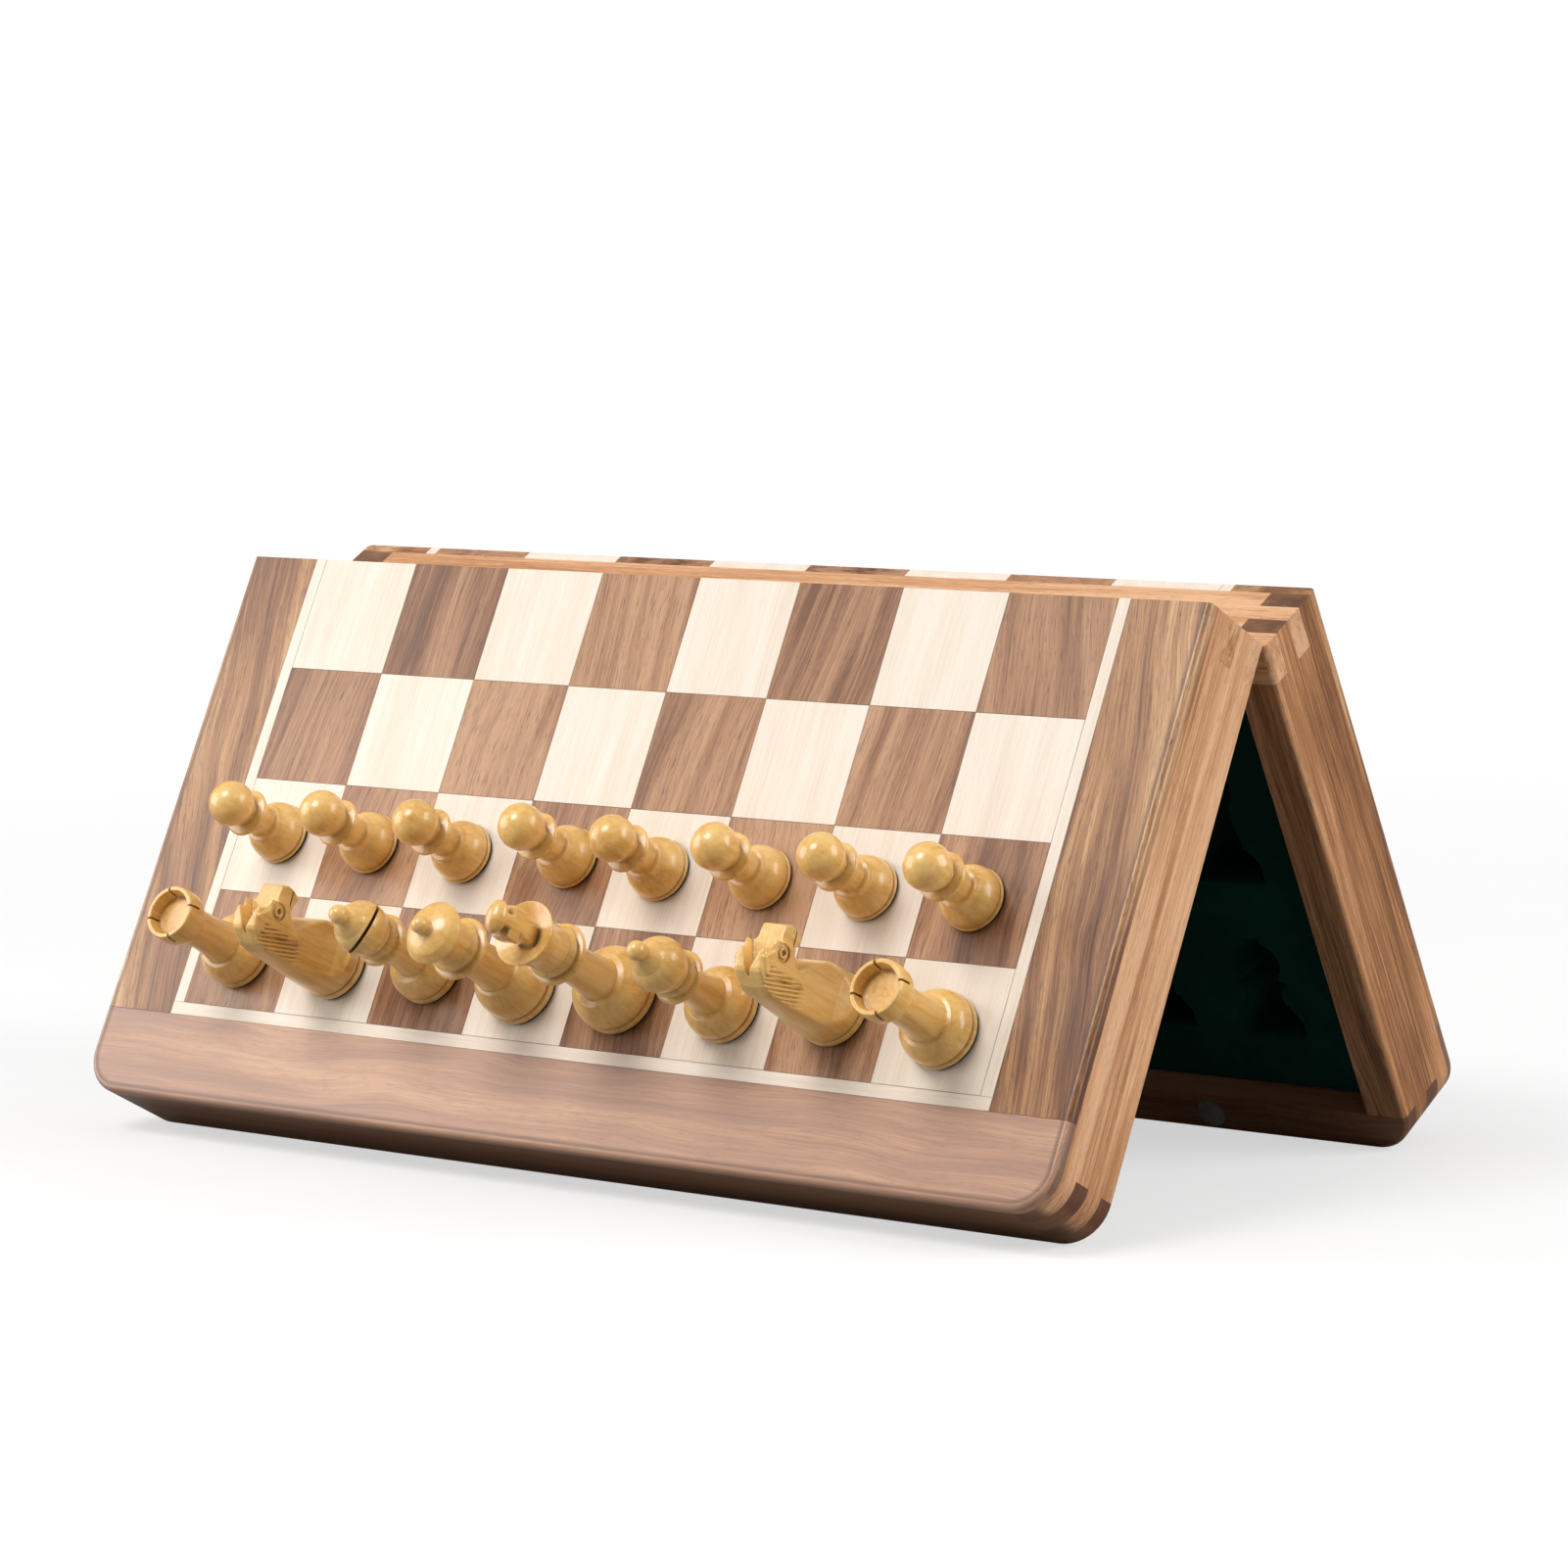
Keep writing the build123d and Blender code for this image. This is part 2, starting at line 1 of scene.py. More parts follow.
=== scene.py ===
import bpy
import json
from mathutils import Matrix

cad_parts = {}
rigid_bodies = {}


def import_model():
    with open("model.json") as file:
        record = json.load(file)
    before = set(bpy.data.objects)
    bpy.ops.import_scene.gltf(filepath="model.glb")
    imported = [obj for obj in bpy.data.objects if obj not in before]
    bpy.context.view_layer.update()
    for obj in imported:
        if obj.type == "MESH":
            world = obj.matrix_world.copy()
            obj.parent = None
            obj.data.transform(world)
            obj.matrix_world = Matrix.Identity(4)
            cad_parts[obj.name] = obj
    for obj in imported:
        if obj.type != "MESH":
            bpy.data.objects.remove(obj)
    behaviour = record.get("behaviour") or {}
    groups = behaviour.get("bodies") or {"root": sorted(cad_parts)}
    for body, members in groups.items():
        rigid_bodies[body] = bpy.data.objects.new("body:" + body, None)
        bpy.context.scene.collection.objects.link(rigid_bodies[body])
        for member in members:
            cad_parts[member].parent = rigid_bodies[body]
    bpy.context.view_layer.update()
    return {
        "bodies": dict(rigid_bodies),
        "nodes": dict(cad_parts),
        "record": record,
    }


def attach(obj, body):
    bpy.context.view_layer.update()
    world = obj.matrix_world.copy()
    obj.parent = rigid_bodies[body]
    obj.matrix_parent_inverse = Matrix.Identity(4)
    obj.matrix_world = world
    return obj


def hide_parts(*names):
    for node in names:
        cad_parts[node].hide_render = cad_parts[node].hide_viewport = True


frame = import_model()

import json
import math

import bmesh
import bpy
import numpy as np
from mathutils import Matrix, Vector

# ---------------------------------------------------------------------------------------
# The two panel frames: u along the hinge, v up the slope to the hinge axis, w out of the
# board. Lengths in this file are metres unless a name ends in _mm.
# ---------------------------------------------------------------------------------------
MM = 0.001
record = frame["record"]
fold = [j for j in record["behaviour"]["joints"] if j["name"] == "board_fold"][0]
HINGE = Vector(fold["pos_m"])
lift = [j for j in record["behaviour"]["joints"] if j["name"] == "front_king_lift"][0]
NORMAL = Vector(lift["axis"]).normalized()

PANEL = {}
for side, sign in (("front", 1), ("rear", -1)):
    w_dir = Vector((0, sign * NORMAL.y, NORMAL.z))
    u_dir = Vector((sign, 0, 0))
    v_dir = w_dir.cross(u_dir)
    PANEL[side] = (u_dir, v_dir, w_dir)


def to_panel(side, points):
    """World points to (u, v, w) of one half, in metres."""
    axes = np.array([list(a) for a in PANEL[side]])
    return (np.asarray(points) - np.array(HINGE)) @ axes.T


def panel_matrix(side, u, v, w):
    """A matrix that stands local axes on the panel's at (u, v, w)."""
    a, b, c = PANEL[side]
    place = HINGE + a * u + b * v + c * w
    rows = Matrix((a, b, c)).transposed().to_4x4()
    rows.translation = place
    return rows


def mesh_points(obj):
    flat = np.empty(len(obj.data.vertices) * 3)
    obj.data.vertices.foreach_get("co", flat)
    return flat.reshape(-1, 3)


def panel_box(side, node):
    """Lowest and highest (u, v, w) of a CAD node."""
    p = to_panel(side, mesh_points(frame["nodes"][node]))
    return p.min(axis=0), p.max(axis=0)


CASE_DEPTH = panel_box("front", "front_border_boards")[1][2]
HALF_LENGTH = panel_box("front", "front_border_boards")[1][0]
FIELD = panel_box("front", "front_dark_squares")[1][0]
SQUARE = FIELD / 4
UNIT = SQUARE          # the outlines of the chess pieces are drawn in squares
INLAY = 3.4 * MM
CORNER_MM = 11.0       # radius of the closing corners


# ---------------------------------------------------------------------------------------
# Shader graphs
# ---------------------------------------------------------------------------------------
class Graph:
    """Builds one material's node tree; sockets and constants can be mixed freely."""

    def __init__(self, name):
        self.material = bpy.data.materials.new(name)
        self.material.use_nodes = True
        self.tree = self.material.node_tree
        self.tree.nodes.clear()
        self.out = self.tree.nodes.new("ShaderNodeOutputMaterial")

    def feed(self, socket, value):
        if isinstance(value, bpy.types.NodeSocket):
            self.tree.links.new(value, socket)
        elif isinstance(value, (tuple, list)) and len(value) == 3 and socket.type == "RGBA":
            socket.default_value = (*value, 1.0)
        else:
            socket.default_value = value

    def node(self, kind, **settings):
        made = self.tree.nodes.new(kind)
        for key, value in settings.items():
            setattr(made, key, value)
        return made

    def math(self, op, a, b=0.0, c=0.0, clamp=False):
        n = self.node("ShaderNodeMath", operation=op, use_clamp=clamp)
        for socket, value in zip(n.inputs, (a, b, c)):
            self.feed(socket, value)
        return n.outputs[0]

    def vector(self, op, a, b=(0, 0, 0)):
        n = self.node("ShaderNodeVectorMath", operation=op)
        self.feed(n.inputs[0], a)
        if op == "SCALE":
            self.feed(n.inputs[3], b)
        else:
            self.feed(n.inputs[1], b)
        return n.outputs[1] if op in ("DOT_PRODUCT", "LENGTH") else n.outputs[0]

    def combine(self, x, y, z):
        n = self.node("ShaderNodeCombineXYZ")
        for socket, value in zip(n.inputs, (x, y, z)):
            self.feed(socket, value)
        return n.outputs[0]

    def split(self, v):
        n = self.node("ShaderNodeSeparateXYZ")
        self.feed(n.inputs[0], v)
        return n.outputs

    def noise(self, v, scale=1.0, detail=2.0, rough=0.5, distortion=0.0):
        n = self.node("ShaderNodeTexNoise")
        self.feed(n.inputs["Vector"], v)
        n.inputs["Scale"].default_value = scale
        n.inputs["Detail"].default_value = detail
        n.inputs["Roughness"].default_value = rough
        n.inputs["Distortion"].default_value = distortion
        return n.outputs[0]

    def grain(self, parts, scales, detail, rough=0.5, distortion=0.0):
        """Noise whose three directions are scaled on their own, which draws it out into grain."""
        scaled = [self.math("MULTIPLY", part, scale) for part, scale in zip(parts, scales)]
        return self.noise(self.combine(*scaled), 1.0, detail, rough, distortion)

    def span(self, value, low, high, to_low=0.0, to_high=1.0):
        """Smooth step of value from low to high."""
        n = self.node("ShaderNodeMapRange")
        n.interpolation_type = "SMOOTHSTEP"
        for index, item in enumerate((value, low, high, to_low, to_high)):
            self.feed(n.inputs[index], item)
        return n.outputs[0]

    def ramp(self, value, stops):
        n = self.node("ShaderNodeValToRGB")
        while len(n.color_ramp.elements) < len(stops):
            n.color_ramp.elements.new(0.5)
        for element, (place, colour) in zip(n.color_ramp.elements, stops):
            element.position = place
            element.color = (*colour, 1.0)
        self.feed(n.inputs[0], value)
        return n.outputs[0]

    def mix(self, fac, a, b, blend="MIX"):
        n = self.node("ShaderNodeMix", data_type="RGBA", blend_type=blend)
        self.feed(n.inputs[0], fac)
        self.feed(n.inputs[6], a)
        self.feed(n.inputs[7], b)
        return n.outputs[2]

    def bump(self, height, strength, distance, normal=None):
        n = self.node("ShaderNodeBump")
        n.inputs["Strength"].default_value = strength
        n.inputs["Distance"].default_value = distance
        self.feed(n.inputs["Height"], height)
        if normal is not None:
            self.feed(n.inputs["Normal"], normal)
        return n.outputs[0]

    def surface(self, **values):
        n = self.node("ShaderNodeBsdfPrincipled")
        names = {
            "color": "Base Color",
            "rough": "Roughness",
            "metal": "Metallic",
            "normal": "Normal",
            "coat": "Coat Weight",
            "coat_rough": "Coat Roughness",
            "sheen": "Sheen Weight",
            "sheen_rough": "Sheen Roughness",
            "sheen_tint": "Sheen Tint",
            "specular": "Specular IOR Level",
        }
        for key, value in values.items():
            self.feed(n.inputs[names[key]], value)
        self.tree.links.new(n.outputs[0], self.out.inputs[0])
        return self.material

    # -- coordinates -------------------------------------------------------------------
    def object_mm(self):
        co = self.node("ShaderNodeTexCoord").outputs["Object"]
        return self.vector("SCALE", co, 1000.0)

    def panel_mm(self, side):
        """(u, v, w) of the half in millimetres, from the CAD mesh's own coordinates."""
        co = self.node("ShaderNodeTexCoord").outputs["Object"]
        local = self.vector("SUBTRACT", co, tuple(HINGE))
        parts = [self.vector("DOT_PRODUCT", local, tuple(a)) for a in PANEL[side]]
        return self.vector("SCALE", self.combine(*parts), 1000.0)

    def pick(self, a, b, seed):
        """A steady random value for each whole pair (a, b)."""
        n = self.node("ShaderNodeTexWhiteNoise", noise_dimensions="3D")
        self.feed(n.inputs["Vector"], self.combine(a, b, seed))
        return n.outputs["Value"]

    def near_line(self, value, pitch, width):
        """1 close to every multiple of pitch, 0 elsewhere."""
        part = self.math("FRACT", self.math("DIVIDE", value, pitch))
        away = self.math("SUBTRACT", 0.5, self.math("ABSOLUTE", self.math("SUBTRACT", part, 0.5)))
        return self.span(away, 0.3 * width / pitch, width / pitch, 1.0, 0.0)

    def each_object(self):
        return self.node("ShaderNodeObjectInfo").outputs["Random"]

    def facing(self, side, axis):
        """How far a face looks along one of the panel's axes, 0 to 1."""
        normal = self.node("ShaderNodeTexCoord").outputs["Normal"]
        return self.math("ABSOLUTE", self.vector("DOT_PRODUCT", normal, tuple(PANEL[side][axis])))


def grain_space(g, base, pick, spread):
    """Moves the wood pattern to another place in the tree for each value of pick."""
    shift = g.combine(
        g.math("MULTIPLY", pick, 977.0 * spread),
        g.math("MULTIPLY", g.math("FRACT", g.math("MULTIPLY", pick, 37.3)), 613.0 * spread),
        g.math("MULTIPLY", g.math("FRACT", g.math("MULTIPLY", pick, 91.7)), 431.0 * spread),
    )
    return g.vector("ADD", base, shift)


def off_centre(g, value, spread):
    """A value from 0 to 1 as a shift either way, at most half of spread."""
    return g.math("MULTIPLY", g.math("SUBTRACT", value, 0.5), spread)


def acacia(g, along, pick, palette, end_grain=None, slant=0.0):
    """Sheesham-like wood. along is (lengthwise, across, through) in millimetres."""
    x, y, z = g.split(grain_space(g, along, pick, 1.0))
    y = g.math("ADD", y, g.math("MULTIPLY", x, slant))
    wander = g.grain((x, y, z), (0.012, 0.02, 1.0), 2.0)
    y = g.math("ADD", y, off_centre(g, wander, 14.0))
    wide = g.grain((x, y, z), (0.006, 0.075, 0.075), 3.0, 0.55, 0.3)
    band = g.grain((x, y, z), (0.012, 0.33, 0.33), 4.0, 0.6, 0.2)
    fine = g.grain((x, y, z), (0.035, 1.7, 1.7), 4.0, 0.65)
    pores = g.grain((x, y, z), (0.22, 3.1, 3.1), 2.0, 0.55)
    tone = g.math("ADD", g.math("MULTIPLY", wide, 0.46), g.math("MULTIPLY", band, 0.34))
    tone = g.math("ADD", tone, g.math("MULTIPLY", fine, 0.30))
    tone = g.math("ADD", tone, off_centre(g, g.math("FRACT", g.math("MULTIPLY", pick, 13.7)), 0.12))
    tone = g.math("MULTIPLY", g.math("SUBTRACT", tone, MIDDLE_TONE), 1.45)
    color = g.ramp(g.math("ADD", tone, MIDDLE_TONE), palette)
    dark_pores = g.span(pores, 0.56, 0.66)
    pore_color = tuple(c * 0.55 for c in palette[0][1])
    color = g.mix(g.math("MULTIPLY", dark_pores, 0.50), color, pore_color)
    if end_grain is not None:
        color = g.mix(g.math("MULTIPLY", end_grain, 0.72), color, (0.075, 0.030, 0.013))
    rough = g.span(fine, 0.3, 0.7, 0.30, 0.42)
    height = g.math("SUBTRACT", g.math("MULTIPLY", fine, 0.5), g.math("MULTIPLY", dark_pores, 0.6))
    return color, rough, height


# Each palette runs from late to early wood: (tone, colour).
MIDDLE_TONE = 0.53
BROWN = (
    (0.34, (0.120, 0.044, 0.018)),
    (0.46, (0.265, 0.118, 0.054)),
    (0.57, (0.395, 0.198, 0.098)),
    (0.70, (0.520, 0.290, 0.155)),
)
BORDER = (
    (0.34, (0.110, 0.036, 0.013)),
    (0.46, (0.270, 0.115, 0.044)),
    (0.57, (0.450, 0.225, 0.096)),
    (0.70, (0.640, 0.385, 0.190)),
)
RAIL = (
    (0.34, (0.170, 0.062, 0.020)),
    (0.46, (0.400, 0.172, 0.060)),
    (0.57, (0.610, 0.300, 0.140)),
    (0.70, (0.800, 0.470, 0.260)),
)


def lacquered(g, color, rough, height, coat=0.28):
    orange_peel = g.noise(g.object_mm(), 0.9, 2.0)
    normal = g.bump(height, 0.22, 0.00006)
    normal = g.bump(orange_peel, 0.10, 0.00005, normal)
    return g.surface(
        color=color, rough=rough, normal=normal, coat=coat, coat_rough=0.24, specular=0.35
    )


GLUE_LINE_MM = 0.18
RAIL_SEEDS = {"hinge_rail": 0.13, "closing_rail": 0.57, "left_rail": 0.31, "right_rail": 0.83}


def squares_material(side, shade):
    g = Graph(side + "_" + shade + "_tiles")
    u, v, w = g.split(g.panel_mm(side))
    pitch = SQUARE * 1000
    column = g.math("FLOOR", g.math("DIVIDE", u, pitch))
    row = g.math("FLOOR", g.math("DIVIDE", v, pitch))
    pick = g.pick(column, row, 3.0 if side == "front" else 8.0)
    lengthwise = g.combine(v, u, w)
    if shade == "dark":
        slant = off_centre(g, pick, 0.30)
        color, rough, height = acacia(g, lengthwise, pick, BROWN, slant=slant)
    else:
        color, rough, height = maple(g, lengthwise, pick)
    glue = g.math("MAXIMUM", g.near_line(u, pitch, GLUE_LINE_MM), g.near_line(v, pitch, GLUE_LINE_MM))
    color = g.mix(g.math("MULTIPLY", glue, 0.45), color, (0.20, 0.105, 0.055))
    return lacquered(g, color, rough, height)


def maple(g, along, pick):
    """Pale, even wood. along is (lengthwise, across, through) in millimetres."""
    x, y, z = g.split(grain_space(g, along, pick, 1.0))
    broad = g.grain((x, y, z), (0.012, 0.16, 0.16), 3.0)
    fine = g.grain((x, y, z), (0.05, 1.5, 1.5), 4.0, 0.6)
    flecks = g.grain((x, y, z), (0.5, 4.5, 4.5), 2.0)
    tone = g.math("ADD", g.math("MULTIPLY", broad, 0.5), g.math("MULTIPLY", fine, 0.5))
    color = g.ramp(tone, (
        (0.36, (0.775, 0.650, 0.520)),
        (0.50, (0.835, 0.725, 0.605)),
        (0.64, (0.880, 0.790, 0.690)),
    ))
    flecked = g.span(flecks, 0.60, 0.74)
    color = g.mix(g.math("MULTIPLY", flecked, 0.20), color, (0.55, 0.37, 0.20))
    return color, g.span(fine, 0.3, 0.7, 0.32, 0.42), fine


def along_strips(g, u, v, w, low):
    """Lengthwise coordinates: u in the closing strip, where low is 1, and v in the sides."""
    high = g.math("SUBTRACT", 1.0, low)
    return g.combine(
        g.math("ADD", g.math("MULTIPLY", u, low), g.math("MULTIPLY", v, high)),
        g.math("ADD", g.math("MULTIPLY", v, low), g.math("MULTIPLY", u, high)),
        w,
    )


def pick_strip(g, u, low, seed):
    """One random value for each of the left, right and closing strips."""
    hand = g.math("MULTIPLY", g.math("SIGN", u), g.math("SUBTRACT", 1.0, low))
    return g.pick(g.math("ADD", hand, 2.0), low, seed)


def inlay_material(side):
    g = Graph(side + "_inlay")
    u, v, w = g.split(g.panel_mm(side))
    low = g.math("LESS_THAN", v, -FIELD * 1000)
    lengthwise = along_strips(g, u, v, w, low)
    color, rough, height = maple(g, lengthwise, pick_strip(g, u, low, 5.0))
    return lacquered(g, color, rough, height)


def border_material(side):
    """Side and closing boards of the border, with painted shade just inside the rounded rim."""
    g = Graph(side + "_border")
    u, v, w = g.split(g.panel_mm(side))
    low = g.math("LESS_THAN", v, -(FIELD + INLAY) * 1000)
    high = g.math("SUBTRACT", 1.0, low)
    lengthwise = along_strips(g, u, v, w, low)
    pick = pick_strip(g, u, low, 6.0)
    slant = g.math("MULTIPLY", high, off_centre(g, pick, 0.5))
    sides, rough, height = acacia(g, lengthwise, pick, BORDER, slant=slant)
    # The closing strip is made paler and pinker: painted sheen.
    closing_with_painted_sheen = g.mix(0.5, sides, (0.62, 0.385, 0.290))
    color = g.mix(low, sides, closing_with_painted_sheen)
    # Painted shade: a thin dark band on the top face just inside the rounded rim, where the round-over turns
    # from the light.
    flat = HALF_LENGTH * 1000 - CORNER_MM
    across = g.math("MAXIMUM", g.math("SUBTRACT", g.math("ABSOLUTE", u), flat), 0.0)
    down = g.math("MAXIMUM", g.math("SUBTRACT", g.math("MULTIPLY", v, -1.0), flat), 0.0)
    rim = g.math("SUBTRACT", CORNER_MM, g.vector("LENGTH", g.combine(across, down, 0.0)))
    shade = g.math("MULTIPLY", g.span(rim, 1.2, 1.7), g.span(rim, 1.8, 3.0, 1.0, 0.0))
    top = CASE_DEPTH * 1000
    shade = g.math("MULTIPLY", shade, g.span(w, top - 1.0, top - 0.4))
    color = g.mix(g.math("MULTIPLY", shade, 0.60), color, (0.10, 0.035, 0.010))
    end = g.span(g.facing(side, 0), 0.72, 0.9)
    color = g.mix(g.math("MULTIPLY", g.math("MULTIPLY", end, low), 0.6), color, (0.085, 0.035, 0.017))
    return lacquered(g, color, rough, height)


def rail_material(side, name, lengthwise_axis):
    """Rails: end grain shows, dark, where a face looks along the rail, as at the finger joints."""
    g = Graph(side + "_" + name)
    u, v, w = g.split(g.panel_mm(side))
    along = g.combine(u, v, w) if lengthwise_axis == 0 else g.combine(v, u, w)
    end = g.span(g.facing(side, lengthwise_axis), 0.72, 0.9)
    end = g.math("MULTIPLY", end, 0.15 if name == "hinge_rail" else 1.0)
    seed = RAIL_SEEDS[name] + (0.07 if side == "rear" else 0.0)
    # The closing rail is darker: partly its own wood, partly painted shade, for its outer face looks down,
    # away from the lamps.
    palette = BROWN if name == "closing_rail" else RAIL
    color, rough, height = acacia(g, along, seed, palette, end_grain=end)
    if name == "closing_rail":
        color = g.mix(0.5, color, (0.120, 0.030, 0.016))
    return lacquered(g, color, rough, height, coat=0.2)


def plain_wood(name, side):
    g = Graph(side + "_" + name)
    color, rough, height = maple(g, g.panel_mm(side), 0.4)
    color = g.mix(0.55, color, (0.36, 0.22, 0.12))
    return g.surface(color=color, rough=0.7, normal=g.bump(height, 0.3, 0.0001))


def metal_material(name, color, rough_low, rough_high, brushed=(1.0, 1.0, 1.0), tarnish=None):
    g = Graph(name)
    co = g.object_mm()
    scratch = g.noise(g.vector("MULTIPLY", co, brushed), 1.0, 4.0, 0.7)
    cloud = g.noise(co, 0.25, 3.0)
    tone = g.mix(g.span(cloud, 0.4, 0.7), color, tarnish or tuple(c * 0.7 for c in color))
    rough = g.span(scratch, 0.3, 0.7, rough_low, rough_high)
    return g.surface(color=tone, rough=rough, metal=1.0, normal=g.bump(scratch, 0.12, 0.00003))


def flock_material(name, deep, pale):
    """Flocked cloth: short pile that catches light at grazing angles."""
    g = Graph(name)
    co = g.object_mm()
    pile = g.noise(co, 5.5, 4.0, 0.75)
    patch = g.noise(co, 0.07, 3.0)
    tone = g.math("ADD", g.math("MULTIPLY", pile, 0.7), g.math("MULTIPLY", patch, 0.3))
    color = g.ramp(tone, ((0.35, deep), (0.68, pale)))
    return g.surface(
        color=color, rough=0.95, specular=0.06, sheen=0.10, sheen_rough=0.45,
        sheen_tint=(0.30, 0.55, 0.42), normal=g.bump(pile, 0.7, 0.00035),
    )


def turned_wood(name, palette, coat):
    """Turned pieces: grain up the piece, faint tool rings, painted shade in the grooves, satin lacquer."""
    g = Graph(name)
    co = g.object_mm()
    pick = g.each_object()
    x, y, z = g.split(grain_space(g, co, pick, 0.7))
    x = g.math("ADD", x, g.math("MULTIPLY", g.grain((x, y, z), (0.03, 0.03, 0.02), 2.0), 9.0))
    broad = g.grain((x, y, z), (0.13, 0.13, 0.012), 3.0, 0.55)
    band = g.grain((x, y, z), (0.75, 0.75, 0.022), 4.0, 0.6)
    fine = g.grain((x, y, z), (3.2, 3.2, 0.10), 3.0, 0.6)
    specks = g.grain((x, y, z), (2.2, 2.2, 0.45), 2.0)
    tone = g.math("ADD", g.math("MULTIPLY", broad, 0.45), g.math("MULTIPLY", band, 0.35))
    tone = g.math("ADD", tone, g.math("MULTIPLY", fine, 0.20))
    tone = g.math("ADD", tone, off_centre(g, g.math("FRACT", g.math("MULTIPLY", pick, 7.7)), 0.07))
    color = g.ramp(tone, palette)
    color = g.mix(g.math("MULTIPLY", g.span(specks, 0.66, 0.80), 0.16), color, palette[0][1])
    # Painted shade: ambient occlusion darkens the colour in grooves, under ledges and near the board at the
    # foot.
    groove_occlusion = g.node("ShaderNodeAmbientOcclusion", samples=6)
    groove_occlusion.inputs["Distance"].default_value = 0.0022
    painted_groove_shade = g.span(groove_occlusion.outputs["AO"], 0.30, 0.85, 0.75, 0.0)
    color = g.mix(painted_groove_shade, color, tuple(0.30 * c for c in palette[0][1]))
    turning = g.noise(g.combine(0.0, 0.0, g.math("MULTIPLY", g.split(co)[2], 3.4)), 1.0, 2.0, 0.6)
    height = g.math("ADD", g.math("MULTIPLY", turning, 0.7), g.math("MULTIPLY", fine, 0.3))
    normal = g.bump(height, 0.16, 0.00006)
    rough = g.span(band, 0.3, 0.7, 0.30, 0.40)
    return g.surface(
        color=color, rough=rough, normal=normal, coat=coat, coat_rough=0.12, specular=0.5
    )


BOXWOOD = (
    (0.34, (0.600, 0.300, 0.062)),
    (0.46, (0.770, 0.440, 0.118)),
    (0.56, (0.850, 0.530, 0.170)),
    (0.68, (0.920, 0.630, 0.245)),
)
DARKWOOD = (
    (0.34, (0.035, 0.014, 0.006)),
    (0.46, (0.085, 0.033, 0.013)),
    (0.56, (0.150, 0.060, 0.024)),
    (0.68, (0.235, 0.105, 0.045)),
)

# ---------------------------------------------------------------------------------------
# Turned outlines, in squares: (radius, height), or (through, end) of an arc
# ---------------------------------------------------------------------------------------
FOOT_H = 0.026


def ball(centre, radius, start):
    lower = math.asin((start - centre) / radius)
    middle = (lower + math.pi / 2) / 2
    return (
        (radius * math.cos(lower), start),
        (radius * math.cos(middle), centre + radius * math.sin(middle), 0.0, centre + radius),
    )


OUTLINES = {
    "pawn": (
        (0.252, FOOT_H), (0.256, 0.031), (0.256, 0.050), (0.234, 0.059), (0.248, 0.074),
        (0.236, 0.155, 0.174, 0.245), (0.166, 0.286), (0.160, 0.296), (0.128, 0.301),
        (0.121, 0.390, 0.152, 0.470), (0.190, 0.482), (0.200, 0.499), (0.190, 0.516),
        (0.120, 0.540), *ball(0.705, 0.188, 0.560),
    ),
    "rook": (
        (0.298, FOOT_H), (0.303, 0.031), (0.303, 0.065), (0.278, 0.076), (0.295, 0.092),
        (0.284, 0.185, 0.235, 0.252), (0.216, 0.270), (0.182, 0.276),
        (0.159, 0.450, 0.150, 0.640), (0.163, 0.725, 0.205, 0.775), (0.200, 0.785),
        (0.222, 0.800), (0.232, 0.880, 0.226, 0.970), (0.219, 0.985), (0.189, 0.985),
        (0.185, 0.975), (0.172, 0.873), (0.0, 0.873),
    ),
    "bishop": (
        (0.292, FOOT_H), (0.297, 0.031), (0.297, 0.077), (0.272, 0.088), (0.291, 0.104),
        (0.277, 0.190, 0.224, 0.252), (0.204, 0.266), (0.160, 0.271),
        (0.134, 0.440, 0.127, 0.620), (0.150, 0.655), (0.205, 0.668), (0.222, 0.680),
        (0.206, 0.695), (0.170, 0.708), (0.168, 0.752), (0.202, 0.773), (0.172, 0.793), (0.162, 0.800),
        (0.180, 0.816), (0.177, 0.832), (0.218, 0.930, 0.150, 1.100),
        (0.112, 1.158, 0.066, 1.199), *ball(1.250, 0.078, 1.206),
    ),
    "queen": (
        (0.315, FOOT_H), (0.320, 0.031), (0.320, 0.081), (0.294, 0.093), (0.313, 0.111),
        (0.298, 0.235, 0.220, 0.366), (0.210, 0.382), (0.180, 0.388),
        (0.159, 0.580, 0.150, 0.780), (0.180, 0.830), (0.242, 0.850), (0.260, 0.865),
        (0.244, 0.880), (0.196, 0.893), (0.192, 0.922), (0.221, 0.943), (0.194, 0.964), (0.178, 0.975),
        (0.175, 1.030), (0.196, 1.120, 0.245, 1.190), (0.256, 1.220), (0.207, 1.277),
        (0.143, 1.310, 0.072, 1.330), *ball(1.390, 0.070, 1.351),
    ),
    "king": (
        (0.338, FOOT_H), (0.343, 0.031), (0.343, 0.071), (0.314, 0.083), (0.336, 0.103),
        (0.322, 0.215, 0.250, 0.300), (0.228, 0.320), (0.178, 0.326),
        (0.158, 0.550, 0.145, 0.780), (0.180, 0.835), (0.240, 0.855), (0.258, 0.870),
        (0.240, 0.886), (0.194, 0.899), (0.190, 0.922), (0.221, 0.942), (0.192, 0.964), (0.177, 0.979),
        (0.190, 0.995), (0.187, 1.050), (0.212, 1.200, 0.265, 1.325), (0.258, 1.335),
        (0.090, 1.250), (0.0, 1.250),
    ),
    "knight": (
        (0.295, FOOT_H), (0.300, 0.031), (0.300, 0.077), (0.274, 0.088), (0.294, 0.104),
        (0.2952, 0.125), (0.0, 0.125),
    ),
}
PAD_RADIUS = {"pawn": 0.247, "rook": 0.294, "knight": 0.291, "bishop": 0.288, "queen": 0.311, "king": 0.334}


SEGMENTS = 112            # round a turned piece
LARGE_SEGMENTS = 128      # round the larger ones
CORNER_SOFTNESS = 0.006   # of a turned outline, in squares


